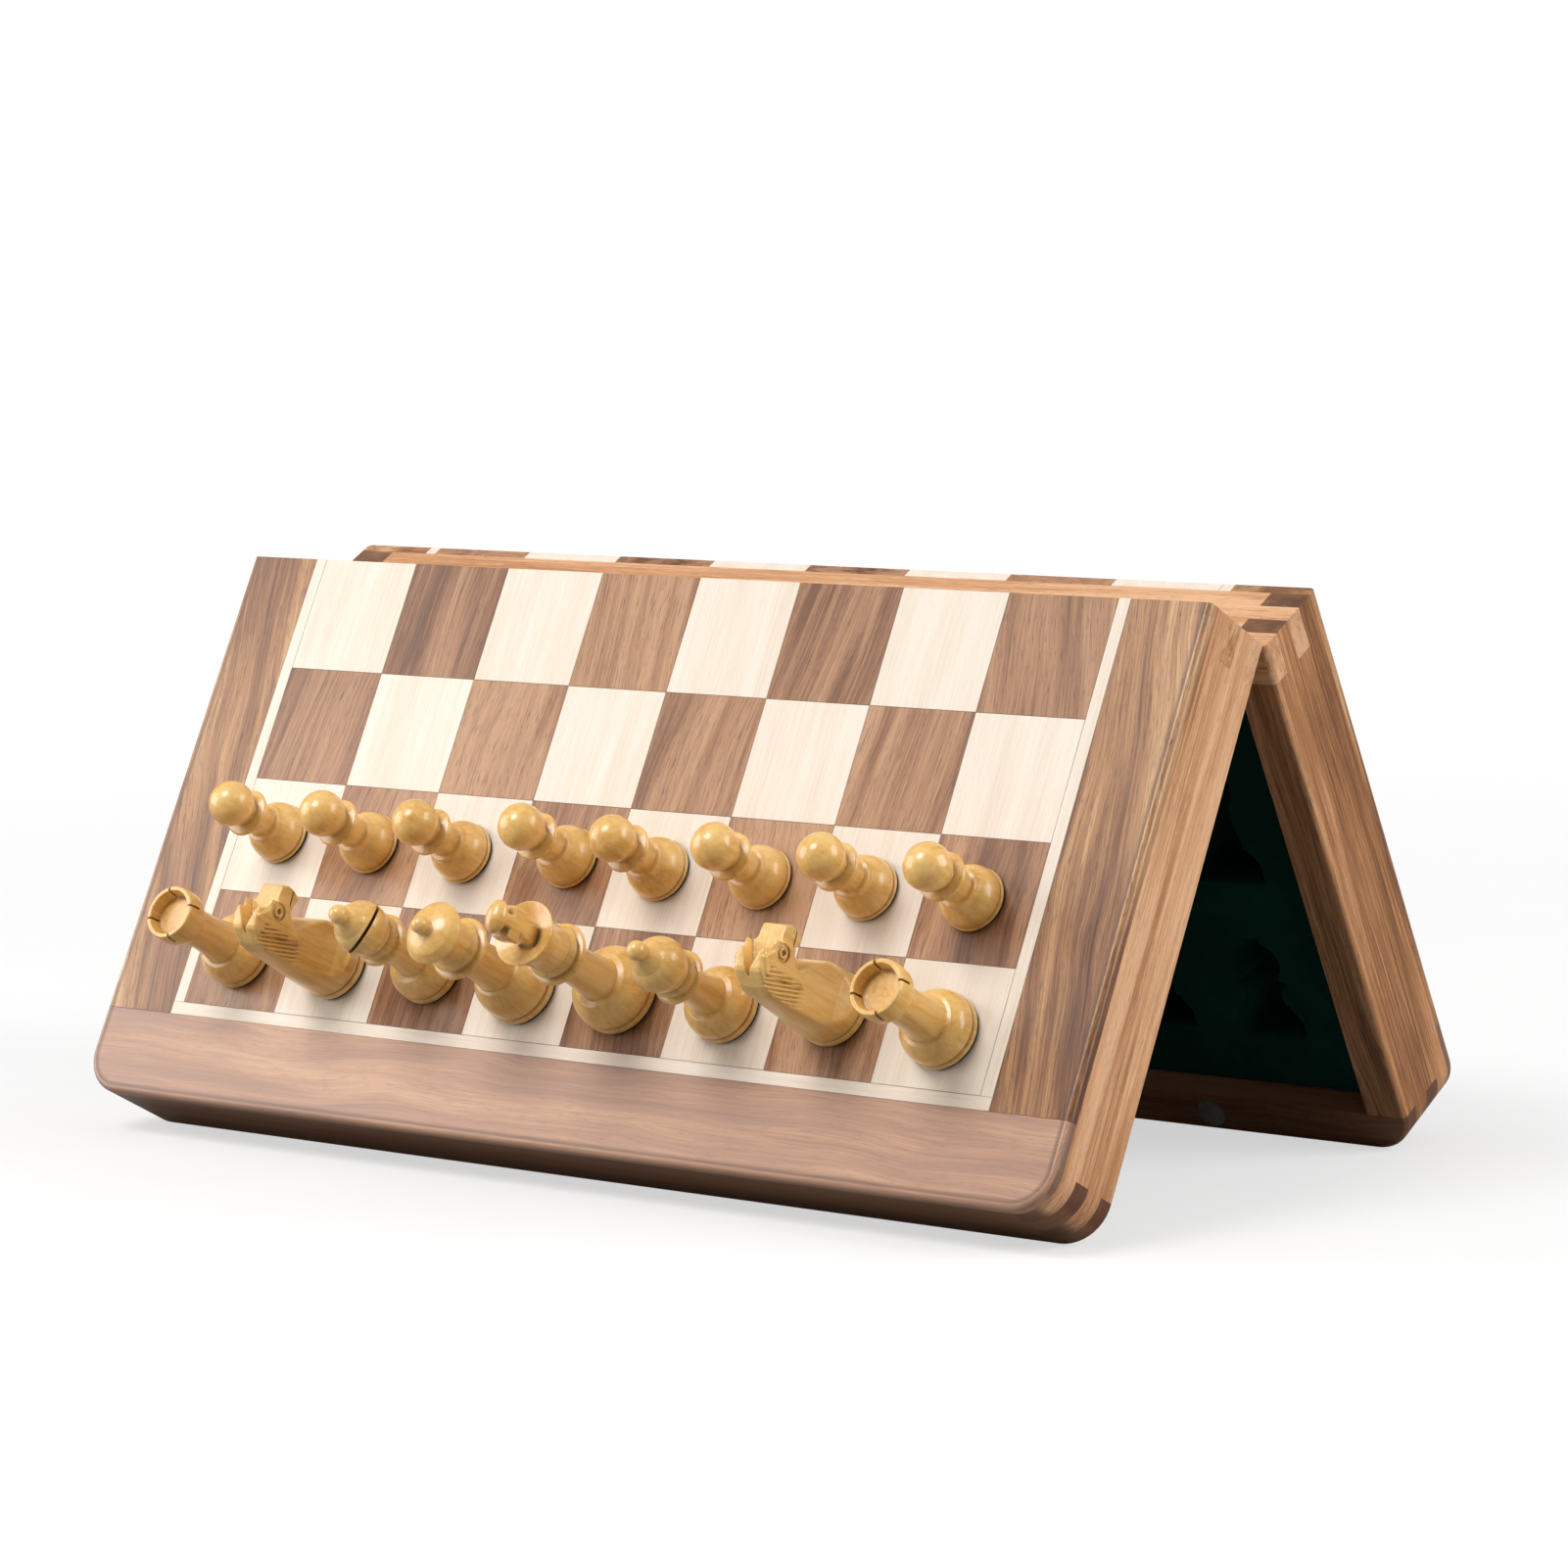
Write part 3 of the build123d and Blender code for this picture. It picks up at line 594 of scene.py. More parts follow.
def arc_points(a, m, b, count=14):
    """Points along the circle through three points, without the first."""
    (ax, ay), (mx, my), (bx, by) = a, m, b
    d = 2 * (ax * (my - by) + mx * (by - ay) + bx * (ay - my))
    if abs(d) < 1e-9:
        return [b]
    sa, sm, sb = ax * ax + ay * ay, mx * mx + my * my, bx * bx + by * by
    cx = (sa * (my - by) + sm * (by - ay) + sb * (ay - my)) / d
    cy = (sa * (bx - mx) + sm * (ax - bx) + sb * (mx - ax)) / d
    r = math.hypot(ax - cx, ay - cy)
    t0, tm, t1 = (math.atan2(y - cy, x - cx) for x, y in (a, m, b))
    full = 2 * math.pi
    turn = (t1 - t0) % full
    if (tm - t0) % full > turn:
        turn -= full
    return [
        (cx + r * math.cos(t0 + turn * i / count), cy + r * math.sin(t0 + turn * i / count))
        for i in range(1, count + 1)
    ]


def soften(points, radius):
    """Rounds the corners of an outline and adds rings that keep the flats flat."""
    done = [points[0]]
    for before, here, after in zip(points, points[1:], points[2:]):
        a, b, c = (np.array(p, float) for p in (before, here, after))
        la, lc = np.linalg.norm(a - b), np.linalg.norm(c - b)
        ua, uc = (a - b) / la, (c - b) / lc
        bend = math.pi - math.acos(max(-1.0, min(1.0, float(ua @ uc))))
        if bend < math.radians(16):
            done.append(tuple(b))
            continue
        cut = min(radius, 0.35 * la, 0.35 * lc)
        p, q = b + ua * cut, b + uc * cut
        for t in (0.0, 0.25, 0.5, 0.75, 1.0):
            done.append(tuple((1 - t) ** 2 * p + 2 * t * (1 - t) * b + t * t * q))
    done.append(points[-1])
    return done


def outline_points(name):
    steps = OUTLINES[name]
    points = [(0.0, steps[0][1])]
    for step in steps:
        if len(step) == 2:
            points.append(step)
        else:
            points.extend(arc_points(points[-1], step[:2], step[2:]))
    return soften(points, CORNER_SOFTNESS)


def new_mesh(name, vertices, faces, sharp=None):
    mesh = bpy.data.meshes.new(name)
    mesh.from_pydata([tuple(map(float, v)) for v in vertices], [], faces)
    mesh.validate()
    mesh.polygons.foreach_set("use_smooth", [True] * len(mesh.polygons))
    if sharp is not None:
        mesh.set_sharp_from_angle(angle=math.radians(sharp))
    return mesh


def lathe(name, points, segments=SEGMENTS):
    """Turns an outline that starts and ends on the axis into a closed mesh, in metres."""
    vertices, faces, rings = [], [], []
    for r, z in points:
        if r < 1e-6:
            rings.append([len(vertices)])
            vertices.append((0, 0, z * UNIT))
            continue
        rings.append(list(range(len(vertices), len(vertices) + segments)))
        for i in range(segments):
            t = 2 * math.pi * i / segments
            vertices.append((r * UNIT * math.cos(t), r * UNIT * math.sin(t), z * UNIT))
    for low, high in zip(rings, rings[1:]):
        for i in range(segments):
            j = (i + 1) % segments
            if len(low) == 1 and len(high) == 1:
                continue
            if len(low) == 1:
                faces.append((low[0], high[j], high[i]))
            elif len(high) == 1:
                faces.append((low[i], low[j], high[0]))
            else:
                faces.append((low[i], low[j], high[j], high[i]))
    return new_mesh(name, vertices, faces)


def block_mesh(name, size, matrix):
    bm = bmesh.new()
    bmesh.ops.create_cube(bm, size=1.0)
    bmesh.ops.scale(bm, vec=size, verts=bm.verts)
    bmesh.ops.transform(bm, matrix=matrix, verts=bm.verts)
    mesh = bpy.data.meshes.new(name)
    bm.to_mesh(mesh)
    bm.free()
    return mesh


def cut(mesh, tools):
    """Cuts the tool meshes out of a mesh and returns the result."""
    body = bpy.data.objects.new("cut_body", mesh)
    bpy.context.scene.collection.objects.link(body)
    helpers = []
    for tool in tools:
        helper = bpy.data.objects.new("cut_tool", tool)
        bpy.context.scene.collection.objects.link(helper)
        helpers.append(helper)
        modifier = body.modifiers.new("cut", "BOOLEAN")
        modifier.operation = "DIFFERENCE"
        modifier.solver = "EXACT"
        modifier.object = helper
    graph = bpy.context.evaluated_depsgraph_get()
    graph.update()
    result = bpy.data.meshes.new_from_object(body.evaluated_get(graph))
    for obj in helpers + [body]:
        bpy.data.objects.remove(obj)
    result.polygons.foreach_set("use_smooth", [True] * len(result.polygons))
    result.set_sharp_from_angle(angle=math.radians(35))
    result.name = mesh.name
    return result


# ---------------------------------------------------------------------------------------
# The knight, carved from a turned blank as a distance field
# ---------------------------------------------------------------------------------------
# Side view: (forward, height) in squares.
HEAD = (
    (-0.300, 0.100), (-0.300, 0.450), (-0.268, 0.600), (-0.252, 0.800), (-0.243, 0.960),
    (-0.205, 1.060), (-0.120, 1.175), (-0.090, 1.190), (0.035, 1.205), (0.066, 1.200),
    (0.074, 1.165), (0.088, 1.128), (0.180, 1.132), (0.262, 1.092), (0.318, 1.010),
    (0.342, 0.930), (0.330, 0.862), (0.300, 0.812), (0.262, 0.788), (0.218, 0.808),
    (0.178, 0.850), (0.150, 0.872), (0.124, 0.868), (0.108, 0.836), (0.070, 0.800),
    (0.052, 0.768), (0.080, 0.715), (0.130, 0.645), (0.188, 0.560), (0.236, 0.460),
    (0.266, 0.370), (0.282, 0.290), (0.300, 0.200), (0.300, 0.100),
)
CHEEK = (
    (-0.125, 1.13), (0.0, 1.21), (0.08, 1.12), (0.19, 1.12), (0.19, 0.86), (0.09, 0.82),
    (-0.06, 0.66),
)
MOUTH = (
    (0.175, 0.868), (0.245, 0.862), (0.335, 0.872), (0.335, 0.882), (0.245, 0.874), (0.175, 0.880),
)
# Half thickness of the flat sides against height.
THICKNESS = (
    (0.10, 0.400), (0.17, 0.340), (0.22, 0.262), (0.30, 0.214), (0.42, 0.184),
    (0.60, 0.158), (0.80, 0.146), (1.00, 0.141), (1.25, 0.122),
)
# Radius of the turned blank against height.
BLANK = ((0.10, 0.2955), (0.14, 0.295), (0.30, 0.290), (0.60, 0.276), (0.90, 0.262), (1.30, 0.250))


def polygon_distance(y, z, polygon):
    """Signed distance to a closed outline, negative inside."""
    inside = np.zeros(y.shape, bool)
    near = np.full(y.shape, 1e9)
    corners = list(polygon)
    for (ay, az), (by, bz) in zip(corners, corners[1:] + corners[:1]):
        ey, ez = by - ay, bz - az
        t = np.clip(((y - ay) * ey + (z - az) * ez) / (ey * ey + ez * ez + 1e-12), 0, 1)
        near = np.minimum(near, (y - ay - t * ey) ** 2 + (z - az - t * ez) ** 2)
        crosses = (az > z) != (bz > z)
        where = ay + (z - az) * ey / (ez if abs(ez) > 1e-12 else 1e-12)
        inside ^= crosses & (y < where)
    return np.where(inside, -1.0, 1.0) * np.sqrt(near)


def smooth_max(a, b, k):
    h = np.clip(0.5 + 0.5 * (a - b) / k, 0, 1)
    return b + (a - b) * h + k * h * (1 - h)


def smooth_min(a, b, k):
    return -smooth_max(-a, -b, k)


def surface_net(field, origin, step):
    """Turns a distance field on a grid into a quad mesh."""
    inside = field < 0
    nx, ny, nz = (n - 1 for n in field.shape)
    total = np.zeros((nx, ny, nz, 3))
    count = np.zeros((nx, ny, nz))
    grid = np.indices(field.shape).transpose(1, 2, 3, 0).astype(float)
    for axis in range(3):
        low = [slice(None)] * 3
        high = [slice(None)] * 3
        low[axis], high[axis] = slice(0, -1), slice(1, None)
        low, high = tuple(low), tuple(high)
        a, b = field[low], field[high]
        crossing = inside[low] != inside[high]
        t = np.where(crossing, a / np.where(crossing, a - b, 1.0), 0.0)
        point = grid[low].copy()
        point[..., axis] += t
        others = [i for i in range(3) if i != axis]
        for da in (0, 1):
            for db in (0, 1):
                source = [slice(None)] * 3
                source[others[0]] = slice(da, field.shape[others[0]] - 1 + da)
                source[others[1]] = slice(db, field.shape[others[1]] - 1 + db)
                source = tuple(source)
                hit = crossing[source]
                total += point[source] * hit[..., None]
                count += hit
    used = count > 0
    number = np.full(used.shape, -1, int)
    number[used] = np.arange(used.sum())
    vertices = total[used] / count[used][:, None] * step + origin
    faces = []
    for axis in range(3):
        b, c = (axis + 1) % 3, (axis + 2) % 3
        low = [slice(None)] * 3
        high = [slice(None)] * 3
        low[axis], high[axis] = slice(0, -1), slice(1, None)
        crossing = inside[tuple(low)] != inside[tuple(high)]
        spots = np.argwhere(crossing)
        spots = spots[(spots[:, b] > 0) & (spots[:, c] > 0)]
        spots = spots[(spots[:, b] < used.shape[b]) & (spots[:, c] < used.shape[c])]
        corner = []
        for db, dc in ((-1, -1), (0, -1), (0, 0), (-1, 0)):
            s = spots.copy()
            s[:, b] += db
            s[:, c] += dc
            corner.append(number[s[:, 0], s[:, 1], s[:, 2]])
        quads = np.stack(corner, axis=1)
        flip = ~inside[spots[:, 0], spots[:, 1], spots[:, 2]]
        quads[flip] = quads[flip][:, ::-1]
        faces.append(quads)
    return vertices, np.concatenate(faces)


def knight_head(step=0.0068):
    """The carved horse above the turned foot, in squares: x across, y forward, z up."""
    low, high = np.array((-0.31, -0.32, 0.105)), np.array((0.31, 0.37, 1.235))
    sizes = np.ceil((high - low) / step).astype(int)
    x, y, z = (low[i] + step * np.arange(sizes[i] + 1) for i in range(3))
    yy, zz = np.meshgrid(y, z, indexing="ij")
    profile = polygon_distance(yy, zz, HEAD)[None]
    heights, halves = zip(*THICKNESS)
    half = np.interp(zz, heights, halves)
    nose = np.clip((yy - 0.13) / 0.10, 0, 1) * np.clip((zz - 0.76) / 0.05, 0, 1)
    half = half - 0.028 * nose * nose * (3 - 2 * nose)
    neck = np.exp(-(((yy - 0.06) / 0.05) ** 2 + ((zz - 0.77) / 0.07) ** 2))
    half = half - 0.016 * neck
    cheek = polygon_distance(yy, zz, CHEEK)
    half = half + 0.018 * np.clip(-cheek / 0.012, 0, 1)
    ridge = (yy + 0.27 * (zz - 0.85)) / 0.034
    mane = np.clip((1.12 - zz) / 0.02, 0, 1) * np.clip((zz - 0.60) / 0.10, 0, 1)
    mane = mane * np.clip((-0.035 - yy) / 0.015, 0, 1) * np.clip((yy + 0.250) / 0.02, 0, 1)
    groove = np.abs(np.mod(ridge, 1.0) - 0.5) * 2
    half = half - 0.0155 * mane * np.clip(1.25 - 2.2 * groove, 0, 1)
    sides = np.abs(x)[:, None, None] - half[None]
    field = smooth_max(np.broadcast_to(profile, sides.shape), sides, 0.026)
    radii_z, radii = zip(*BLANK)
    reach = np.interp(z, radii_z, radii)[None, None, :]
    round_blank = np.sqrt(x[:, None, None] ** 2 + y[None, :, None] ** 2) - reach
    ahead = np.clip((yy - 0.02) / 0.05, 0, 1) * np.clip((zz - 0.70) / 0.06, 0, 1)
    field = smooth_max(field, round_blank - 0.2 * ahead[None], 0.014)
    opening = (yy + 0.150) * 0.44
    pocket = np.abs(x)[:, None, None] - opening[None]
    floor = (1.045 - zz - 0.10 * yy)[None]
    pocket = np.maximum(pocket, np.broadcast_to(floor, pocket.shape))
    field = smooth_max(field, -pocket, 0.008)
    for sign in (-1, 1):
        dx = x[:, None, None] - sign * 0.150
        dy, dz = (yy - 0.095)[None], (zz - 1.010)[None]
        radial = np.sqrt(dy ** 2 + dz ** 2)
        ring = np.sqrt((radial - 0.060) ** 2 + dx ** 2) - 0.0140
        hole = np.sqrt(radial ** 2 + dx ** 2) - 0.023
        field = smooth_max(field, -np.minimum(ring, hole), 0.006)
        beside = x[:, None, None] - sign * 0.122
        nostril = ((yy - 0.285)[None] / 1.3) ** 2 + (zz - 0.905)[None] ** 2 + beside ** 2
        nostril = np.sqrt(nostril) - 0.016
        field = smooth_max(field, -nostril, 0.01)
    mouth = polygon_distance(yy, zz, MOUTH)
    field = smooth_max(field, -np.maximum(mouth[None], 0.084 - np.abs(x)[:, None, None]), 0.006)
    field = np.maximum(field, (0.125 - zz)[None])
    return surface_net(field, low, step)


def knight_mesh():
    points, quads = knight_head()
    return new_mesh("knight_head", points * UNIT, quads.tolist(), 48)


# ---------------------------------------------------------------------------------------
# The king's cross
# ---------------------------------------------------------------------------------------
def cross_mesh():
    """A flat cross that tapers to its foot, with side arms and a domed top."""
    right = (
        (0.078, 1.240), (0.076, 1.330), (0.064, 1.420), (0.058, 1.452), (0.128, 1.446),
        (0.136, 1.520), (0.128, 1.594), (0.056, 1.588), (0.052, 1.640), (0.0, 1.660),
    )
    loop = list(right) + [(-y, z) for y, z in reversed(right[:-1])]
    step = 0.0058
    low, high = np.array((-0.11, -0.16, 1.225)), np.array((0.11, 0.16, 1.775))
    sizes = np.ceil((high - low) / step).astype(int)
    x, y, z = (low[i] + step * np.arange(sizes[i] + 1) for i in range(3))
    yy, zz = np.meshgrid(y, z, indexing="ij")
    profile = polygon_distance(yy, zz, loop)[None]
    sides = np.abs(x)[:, None, None] - 0.082
    field = smooth_max(profile, sides, 0.024)
    dome = (x[:, None, None] / 0.090) ** 2 + ((yy / 0.134) ** 2 + ((zz - 1.684) / 0.068) ** 2)[None]
    field = smooth_min(field, (np.sqrt(dome) - 1) * 0.068, 0.012)
    points, quads = surface_net(field, low, step)
    return new_mesh("king_cross", points * UNIT, quads.tolist(), 50)


# ---------------------------------------------------------------------------------------
# Shapes shared by the pieces
# ---------------------------------------------------------------------------------------
def rook_mesh():
    body = lathe("rook_body", outline_points("rook"))
    tools = []
    for turn in (20, 110):
        place = Matrix.Translation((0, 0, 0.935 * UNIT)) @ Matrix.Rotation(math.radians(turn), 4, "Z")
        tools.append(block_mesh("slit", (0.60 * UNIT, 0.020 * UNIT, 0.112 * UNIT), place))
    return cut(body, tools)


def bishop_mesh(turn):
    body = lathe("bishop_body", outline_points("bishop"))
    place = (
        Matrix.Rotation(math.radians(turn), 4, "Z")
        @ Matrix.Translation((0.15 * UNIT, 0, 1.05 * UNIT))
        @ Matrix.Rotation(math.radians(-38), 4, "Y")
    )
    return cut(body, [block_mesh("slot", (0.26 * UNIT, 0.6 * UNIT, 0.026 * UNIT), place)])


def pad_mesh(radius):
    return lathe("pad_" + str(radius), soften([
        (0.0, 0.0), (radius - 0.003, 0.0), (radius, 0.004), (radius, 0.0245), (0.0, 0.0252),
    ], 0.002), 72)


SHAPES = {
    "pawn": [lathe("pawn_body", outline_points("pawn"))],
    "rook": [rook_mesh()],
    "bishop_c": [bishop_mesh(-20)],
    "bishop_f": [bishop_mesh(180)],
    "queen": [lathe("queen_body", outline_points("queen"), LARGE_SEGMENTS)],
    "king": [lathe("king_body", outline_points("king"), LARGE_SEGMENTS), cross_mesh()],
    "knight": [lathe("knight_foot", outline_points("knight"), LARGE_SEGMENTS), knight_mesh()],
}
PADS = {kind: pad_mesh(radius) for kind, radius in PAD_RADIUS.items()}

light_wood = turned_wood("boxwood", BOXWOOD, 0.55)
dark_wood = turned_wood("dark_turned_wood", DARKWOOD, 0.6)
pad_felt = flock_material("pad_felt", (0.003, 0.016, 0.009), (0.010, 0.042, 0.024))


def add_piece(name, mesh, matrix, material, body, node=None):
    obj = bpy.data.objects.new(name, mesh)
    bpy.context.scene.collection.objects.link(obj)
    obj.matrix_world = matrix
    if not mesh.materials:
        mesh.materials.append(material)
    obj.material_slots[0].link = "OBJECT"
    obj.material_slots[0].material = material
    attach(obj, body)
    if node:
        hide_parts(node)
    return obj


def set_up_pieces():
    for body in frame["bodies"]:
        side, _, name = body.partition("_")
        if name == "half":
            continue
        kind = name.split("_")[0]
        shape = SHAPES.get(name, SHAPES.get(kind))
        local = to_panel(side, mesh_points(frame["nodes"][body]))
        foot = local[local[:, 2] < CASE_DEPTH + 0.3 * MM]
        u, v = (foot[:, :2].min(axis=0) + foot[:, :2].max(axis=0)) / 2
        base = foot[:, 2].min()
        wood = light_wood if side == "front" else dark_wood
        matrix = panel_matrix(side, u, v, base)
        for index, mesh in enumerate(shape):
            part = "" if index == 0 else "_top"
            add_piece("piece_" + body + part, mesh, matrix, wood, body, body)
        add_piece("pad_" + body, PADS[kind], matrix, pad_felt, body, body)


# ---------------------------------------------------------------------------------------
# Flocked tray with piece-shaped recesses
# ---------------------------------------------------------------------------------------
ORDER = ("rook", "knight", "bishop", "queen", "king", "bishop", "knight", "rook")
ROW_BASE = {"officer": -76.0 * MM, "pawn": -124.5 * MM}     # v of the feet in each row
TRAY_STEP = 0.75 * MM
RECESS_CLEAR = 0.35 * MM
RECESS_END_CLEAR = 0.3 * MM
RECESS_SLOPE = 2.2 * MM        # width of the soft edge of a recess
KNIGHT_REACH = ((0.300, 0.0), (0.300, 0.35), (0.290, 0.75), (0.34, 0.80), (0.34, 1.10), (0.2, 1.20))
TRAY_FELT = flock_material("tray_flock", (0.0014, 0.0210, 0.0145), (0.0050, 0.0700, 0.0500))


def reach_of(kind):
    """Radius against height for a recess: the outline's envelope, in metres."""
    points = KNIGHT_REACH if kind == "knight" else outline_points(kind)
    top = max(z for _, z in points)
    zs, rs = zip(*sorted((z, r) for r, z in points if r > 0))
    heights = np.linspace(0, top, 120)
    return heights * UNIT, np.interp(heights, zs, rs) * UNIT, top * UNIT


def tray_mesh(side):
    """Tray surface as a height field over (u, v), with rims and floor."""
    low, high = panel_box(side, side + "_piece_tray")
    felt, deep = low[2], high[2] - 0.55 * MM
    nu = int((high[0] - low[0]) / TRAY_STEP)
    nv = int((high[1] - low[1]) / TRAY_STEP)
    u = np.linspace(low[0], high[0], nu + 1)
    v = np.linspace(low[1], high[1], nv + 1)
    uu, vv = np.meshgrid(u, v, indexing="ij")
    near = np.full(uu.shape, 1e9)
    boxes = {o["name"]: o["box_m"] for o in record["physics"]["openings"]}
    for index, officer in enumerate(ORDER):
        for row, kind in (("officer", officer), ("pawn", "pawn")):
            box = np.array(boxes[side + "_" + row + "_recess_" + str(index + 1)])
            middle = to_panel(side, [(box[0] + box[1]) / 2])[0]
            z, r, top = reach_of(kind)
            along = vv - ROW_BASE[row]
            radius = np.interp(along, z, r, left=r[0], right=0.05 * UNIT)
            across = np.abs(uu - middle[0]) - radius - RECESS_CLEAR
            ends = np.maximum(-RECESS_END_CLEAR - along, along - top - RECESS_END_CLEAR)
            near = np.minimum(near, np.maximum(across * 0.93, ends))
    down = np.clip((0.9 * MM - near) / RECESS_SLOPE, 0, 1)
    down = down * down * (3 - 2 * down)
    ww = felt + (deep - felt) * down
    edge = np.minimum.reduce([uu - low[0], high[0] - uu, vv - low[1], high[1] - vv])
    ww = ww + 0.8 * MM * np.clip(1 - edge / (1.4 * MM), 0, 1) ** 2
    return uu, vv, ww


def make_tray(side):
    low, high = panel_box(side, side + "_piece_tray")
    uu, vv, ww = tray_mesh(side)
    nu, nv = uu.shape
    top = np.stack([uu, vv, ww], axis=-1).reshape(-1, 3)
    number = np.arange(nu * nv).reshape(nu, nv)
    quads = np.stack(
        [number[:-1, :-1], number[:-1, 1:], number[1:, 1:], number[1:, :-1]], axis=-1
    ).reshape(-1, 4)
    rim = np.concatenate([number[:, 0], number[-1, 1:], number[-2::-1, -1], number[0, -2:0:-1]])
    back = top[rim].copy()
    back[:, 2] = high[2] - 0.1 * MM
    start = len(top)
    points = np.concatenate([top, back])
    faces = quads.tolist()
    n = len(rim)
    for i in range(n):
        j = (i + 1) % n
        faces.append((int(rim[i]), int(rim[j]), start + j, start + i))
    faces.append([start + i for i in range(n)][::-1])
    mesh = bpy.data.meshes.new(side + "_tray_felt")
    mesh.from_pydata(points.tolist(), [], faces)
    mesh.validate()
    mesh.polygons.foreach_set("use_smooth", [True] * len(mesh.polygons))
    obj = bpy.data.objects.new(side + "_tray_felt", mesh)
    bpy.context.scene.collection.objects.link(obj)
    obj.matrix_world = panel_matrix(side, 0, 0, 0)
    mesh.materials.append(TRAY_FELT)
    bm = bmesh.new()
    bm.from_mesh(mesh)
    bmesh.ops.recalc_face_normals(bm, faces=bm.faces)
    bm.to_mesh(mesh)
    bm.free()
    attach(obj, side + "_half")
    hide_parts(side + "_piece_tray")


# ---------------------------------------------------------------------------------------
# Materials of the CAD nodes
# ---------------------------------------------------------------------------------------
def paint(node, material):
    obj = frame["nodes"][node]
    if not obj.material_slots:
        obj.data.materials.append(material)
    for slot in obj.material_slots:
        slot.material = material


brass = metal_material("hinge_brass", (0.78, 0.57, 0.25), 0.18, 0.34, (0.6, 4.0, 4.0), (0.52, 0.34, 0.14))
screw_brass = metal_material("screw_brass", (0.74, 0.53, 0.23), 0.20, 0.38, (3.0, 3.0, 3.0))
nickel = metal_material("magnet_nickel", (0.60, 0.57, 0.54), 0.42, 0.58, (2.5, 2.5, 2.5), (0.45, 0.42, 0.39))
mill_steel = metal_material("steel_sheet", (0.55, 0.55, 0.56), 0.30, 0.45, (0.3, 3.0, 3.0))

for side in ("front", "rear"):
    paint(side + "_light_squares", squares_material(side, "light"))
    paint(side + "_dark_squares", squares_material(side, "dark"))
    paint(side + "_inlay_strips", inlay_material(side))
    paint(side + "_border_boards", border_material(side))
    paint(side + "_hinge_rail", rail_material(side, "hinge_rail", 0))
    paint(side + "_closing_rail", rail_material(side, "closing_rail", 0))
    paint(side + "_left_rail", rail_material(side, "left_rail", 1))
    paint(side + "_right_rail", rail_material(side, "right_rail", 1))
    paint(side + "_core_panel", plain_wood("core", side))
    paint(side + "_steel_sheet", mill_steel)
    paint(side + "_closure_magnets", nickel)
    paint(side + "_hinge_leaves", brass)
    paint(side + "_hinge_screws", screw_brass)
    make_tray(side)

set_up_pieces()


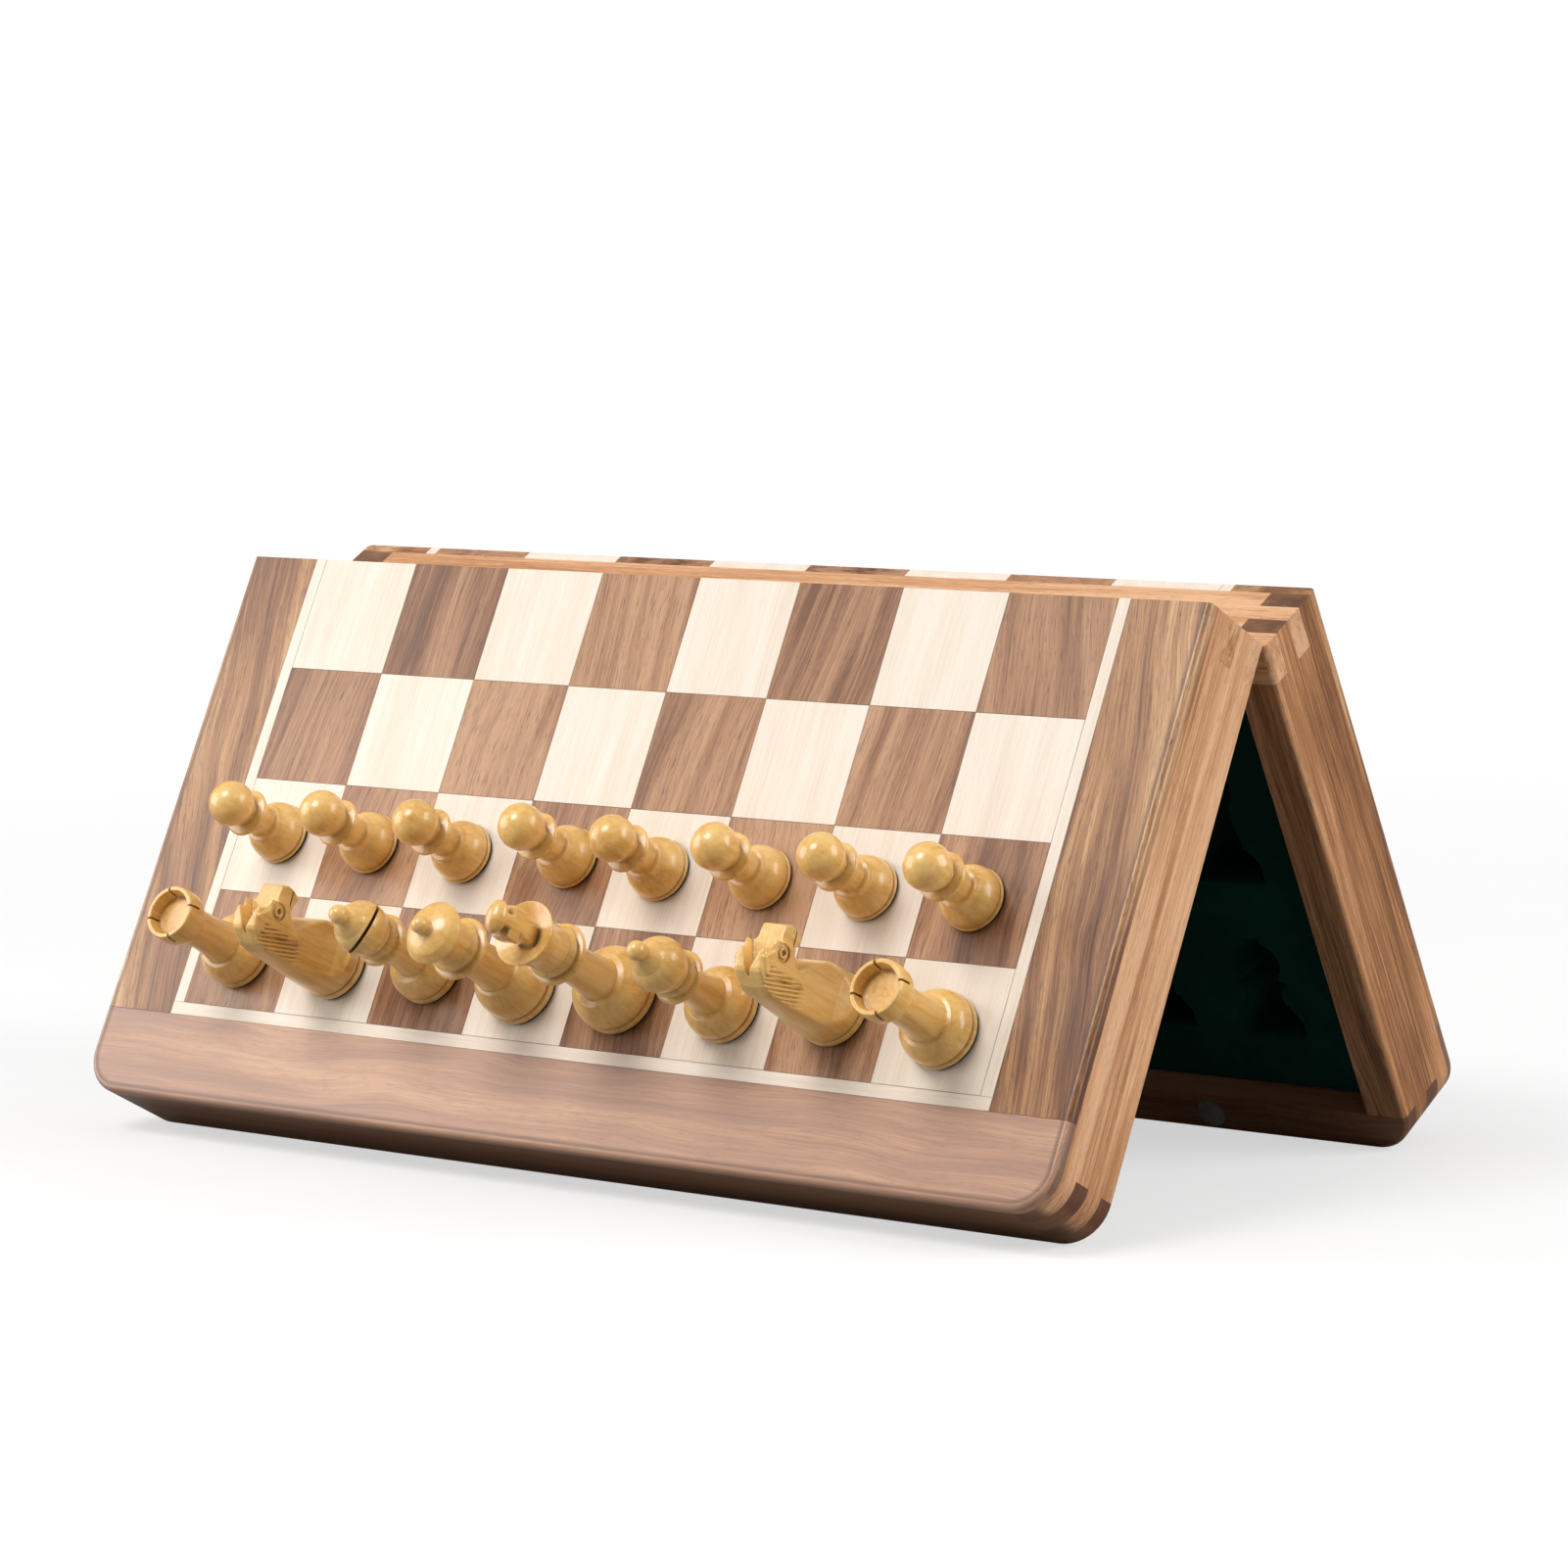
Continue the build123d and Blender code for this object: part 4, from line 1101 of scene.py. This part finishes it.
# ---------------------------------------------------------------------------------------
# Floor, light and camera
# ---------------------------------------------------------------------------------------
def backdrop():
    """A pale floor that curves up all round, far from the object.

    The camera sees it fade to white with distance. To the light it is a dull grey, so it
    throws little light up under the board.
    """
    g = Graph("backdrop")
    grain = g.noise(g.object_mm(), 0.02, 3.0)
    color = g.ramp(grain, ((0.3, (0.86, 0.86, 0.86)), (0.7, (0.89, 0.89, 0.89))))
    material = g.surface(color=color, rough=0.9, specular=0.1)
    shaded = g.out.inputs[0].links[0].from_socket
    white = g.node("ShaderNodeEmission")
    g.feed(white.inputs[0], (1.0, 1.0, 1.0))
    pale = g.node("ShaderNodeMixShader")
    far = g.vector("LENGTH", g.object_mm())
    g.feed(pale.inputs[0], g.span(far, 250.0, 900.0, 0.60, 1.0))
    g.feed(pale.inputs[1], shaded)
    g.feed(pale.inputs[2], white.outputs[0])
    dull = g.node("ShaderNodeBsdfDiffuse")
    g.feed(dull.inputs[0], (0.30, 0.30, 0.30))
    last = g.node("ShaderNodeMixShader")
    g.feed(last.inputs[0], g.node("ShaderNodeLightPath").outputs["Is Camera Ray"])
    g.feed(last.inputs[1], dull.outputs[0])
    g.feed(last.inputs[2], pale.outputs[0])
    g.feed(g.out.inputs[0], last.outputs[0])
    flat, bend, height = 3.0, 1.2, 3.2
    points = [(0.0, 0.0), (0.6, 0.0), (2.2, 0.0), (flat, 0.0)]
    for i in range(1, 13):
        t = math.radians(90 * i / 12)
        points.append((flat + bend * math.sin(t), bend - bend * math.cos(t)))
    points.append((flat + bend, height))
    segments = 96
    vertices, faces = [(0, 0, 0)], []
    for r, z in points[1:]:
        for i in range(segments):
            t = 2 * math.pi * i / segments
            vertices.append((r * math.cos(t), r * math.sin(t), z))
    for i in range(segments):
        faces.append((0, 1 + i, 1 + (i + 1) % segments))
    for ring in range(len(points) - 2):
        a, b = 1 + ring * segments, 1 + (ring + 1) * segments
        for i in range(segments):
            j = (i + 1) % segments
            faces.append((a + i, b + i, b + j, a + j))
    mesh = new_mesh("backdrop", vertices, faces)
    mesh.materials.append(material)
    obj = bpy.data.objects.new("backdrop", mesh)
    bpy.context.scene.collection.objects.link(obj)


def area_light(name, place, target, size, power, color):
    data = bpy.data.lights.new(name, "AREA")
    data.shape = "DISK"
    data.size = size
    data.energy = power
    data.color = color
    obj = bpy.data.objects.new(name, data)
    bpy.context.scene.collection.objects.link(obj)
    obj.location = place
    obj.rotation_mode = "QUATERNION"
    obj.rotation_quaternion = (Vector(target) - Vector(place)).to_track_quat("-Z", "Y")


# name, place, width, watts, colour
LIGHTS = (
    ("left", (-1.50, -0.90, 0.50), 1.5, 22.0, (1.0, 0.985, 0.965)),
    ("right", (1.50, 0.60, 0.75), 1.4, 25.0, (1.0, 0.99, 0.975)),
    ("top", (-0.30, -1.15, 1.50), 0.9, 21.0, (1.0, 1.0, 1.0)),
)
AIM = (0, 0, 0.08)
AMBIENT = 0.47

backdrop()
for name, place, width, watts, color in LIGHTS:
    area_light(name, place, AIM, width, watts, color)

world = bpy.data.worlds.new("studio")
bpy.context.scene.world = world
world.use_nodes = True
sky = world.node_tree.nodes["Background"]
sky.inputs[0].default_value = (1.0, 1.0, 1.0, 1.0)
sky.inputs[1].default_value = AMBIENT

camera_data = bpy.data.cameras.new("camera")
camera_data.lens = 121.4
camera_data.sensor_width = 36.0
camera_data.clip_start = 0.05
camera_data.clip_end = 50.0
camera = bpy.data.objects.new("camera", camera_data)
bpy.context.scene.collection.objects.link(camera)
eye = Vector((0.8197, -1.0738, 0.1176)) + HINGE
forward = Vector((-0.599, 0.7924, -0.1179)).normalized()
right = Vector((0.798, 0.6018, -0.0119))
right = (right - forward * right.dot(forward)).normalized()
up = right.cross(forward)
camera.matrix_world = Matrix.Translation(eye) @ Matrix((right, up, -forward)).transposed().to_4x4()
bpy.context.scene.camera = camera
bpy.context.scene.view_settings.view_transform = "Standard"
bpy.context.scene.view_settings.look = "None"
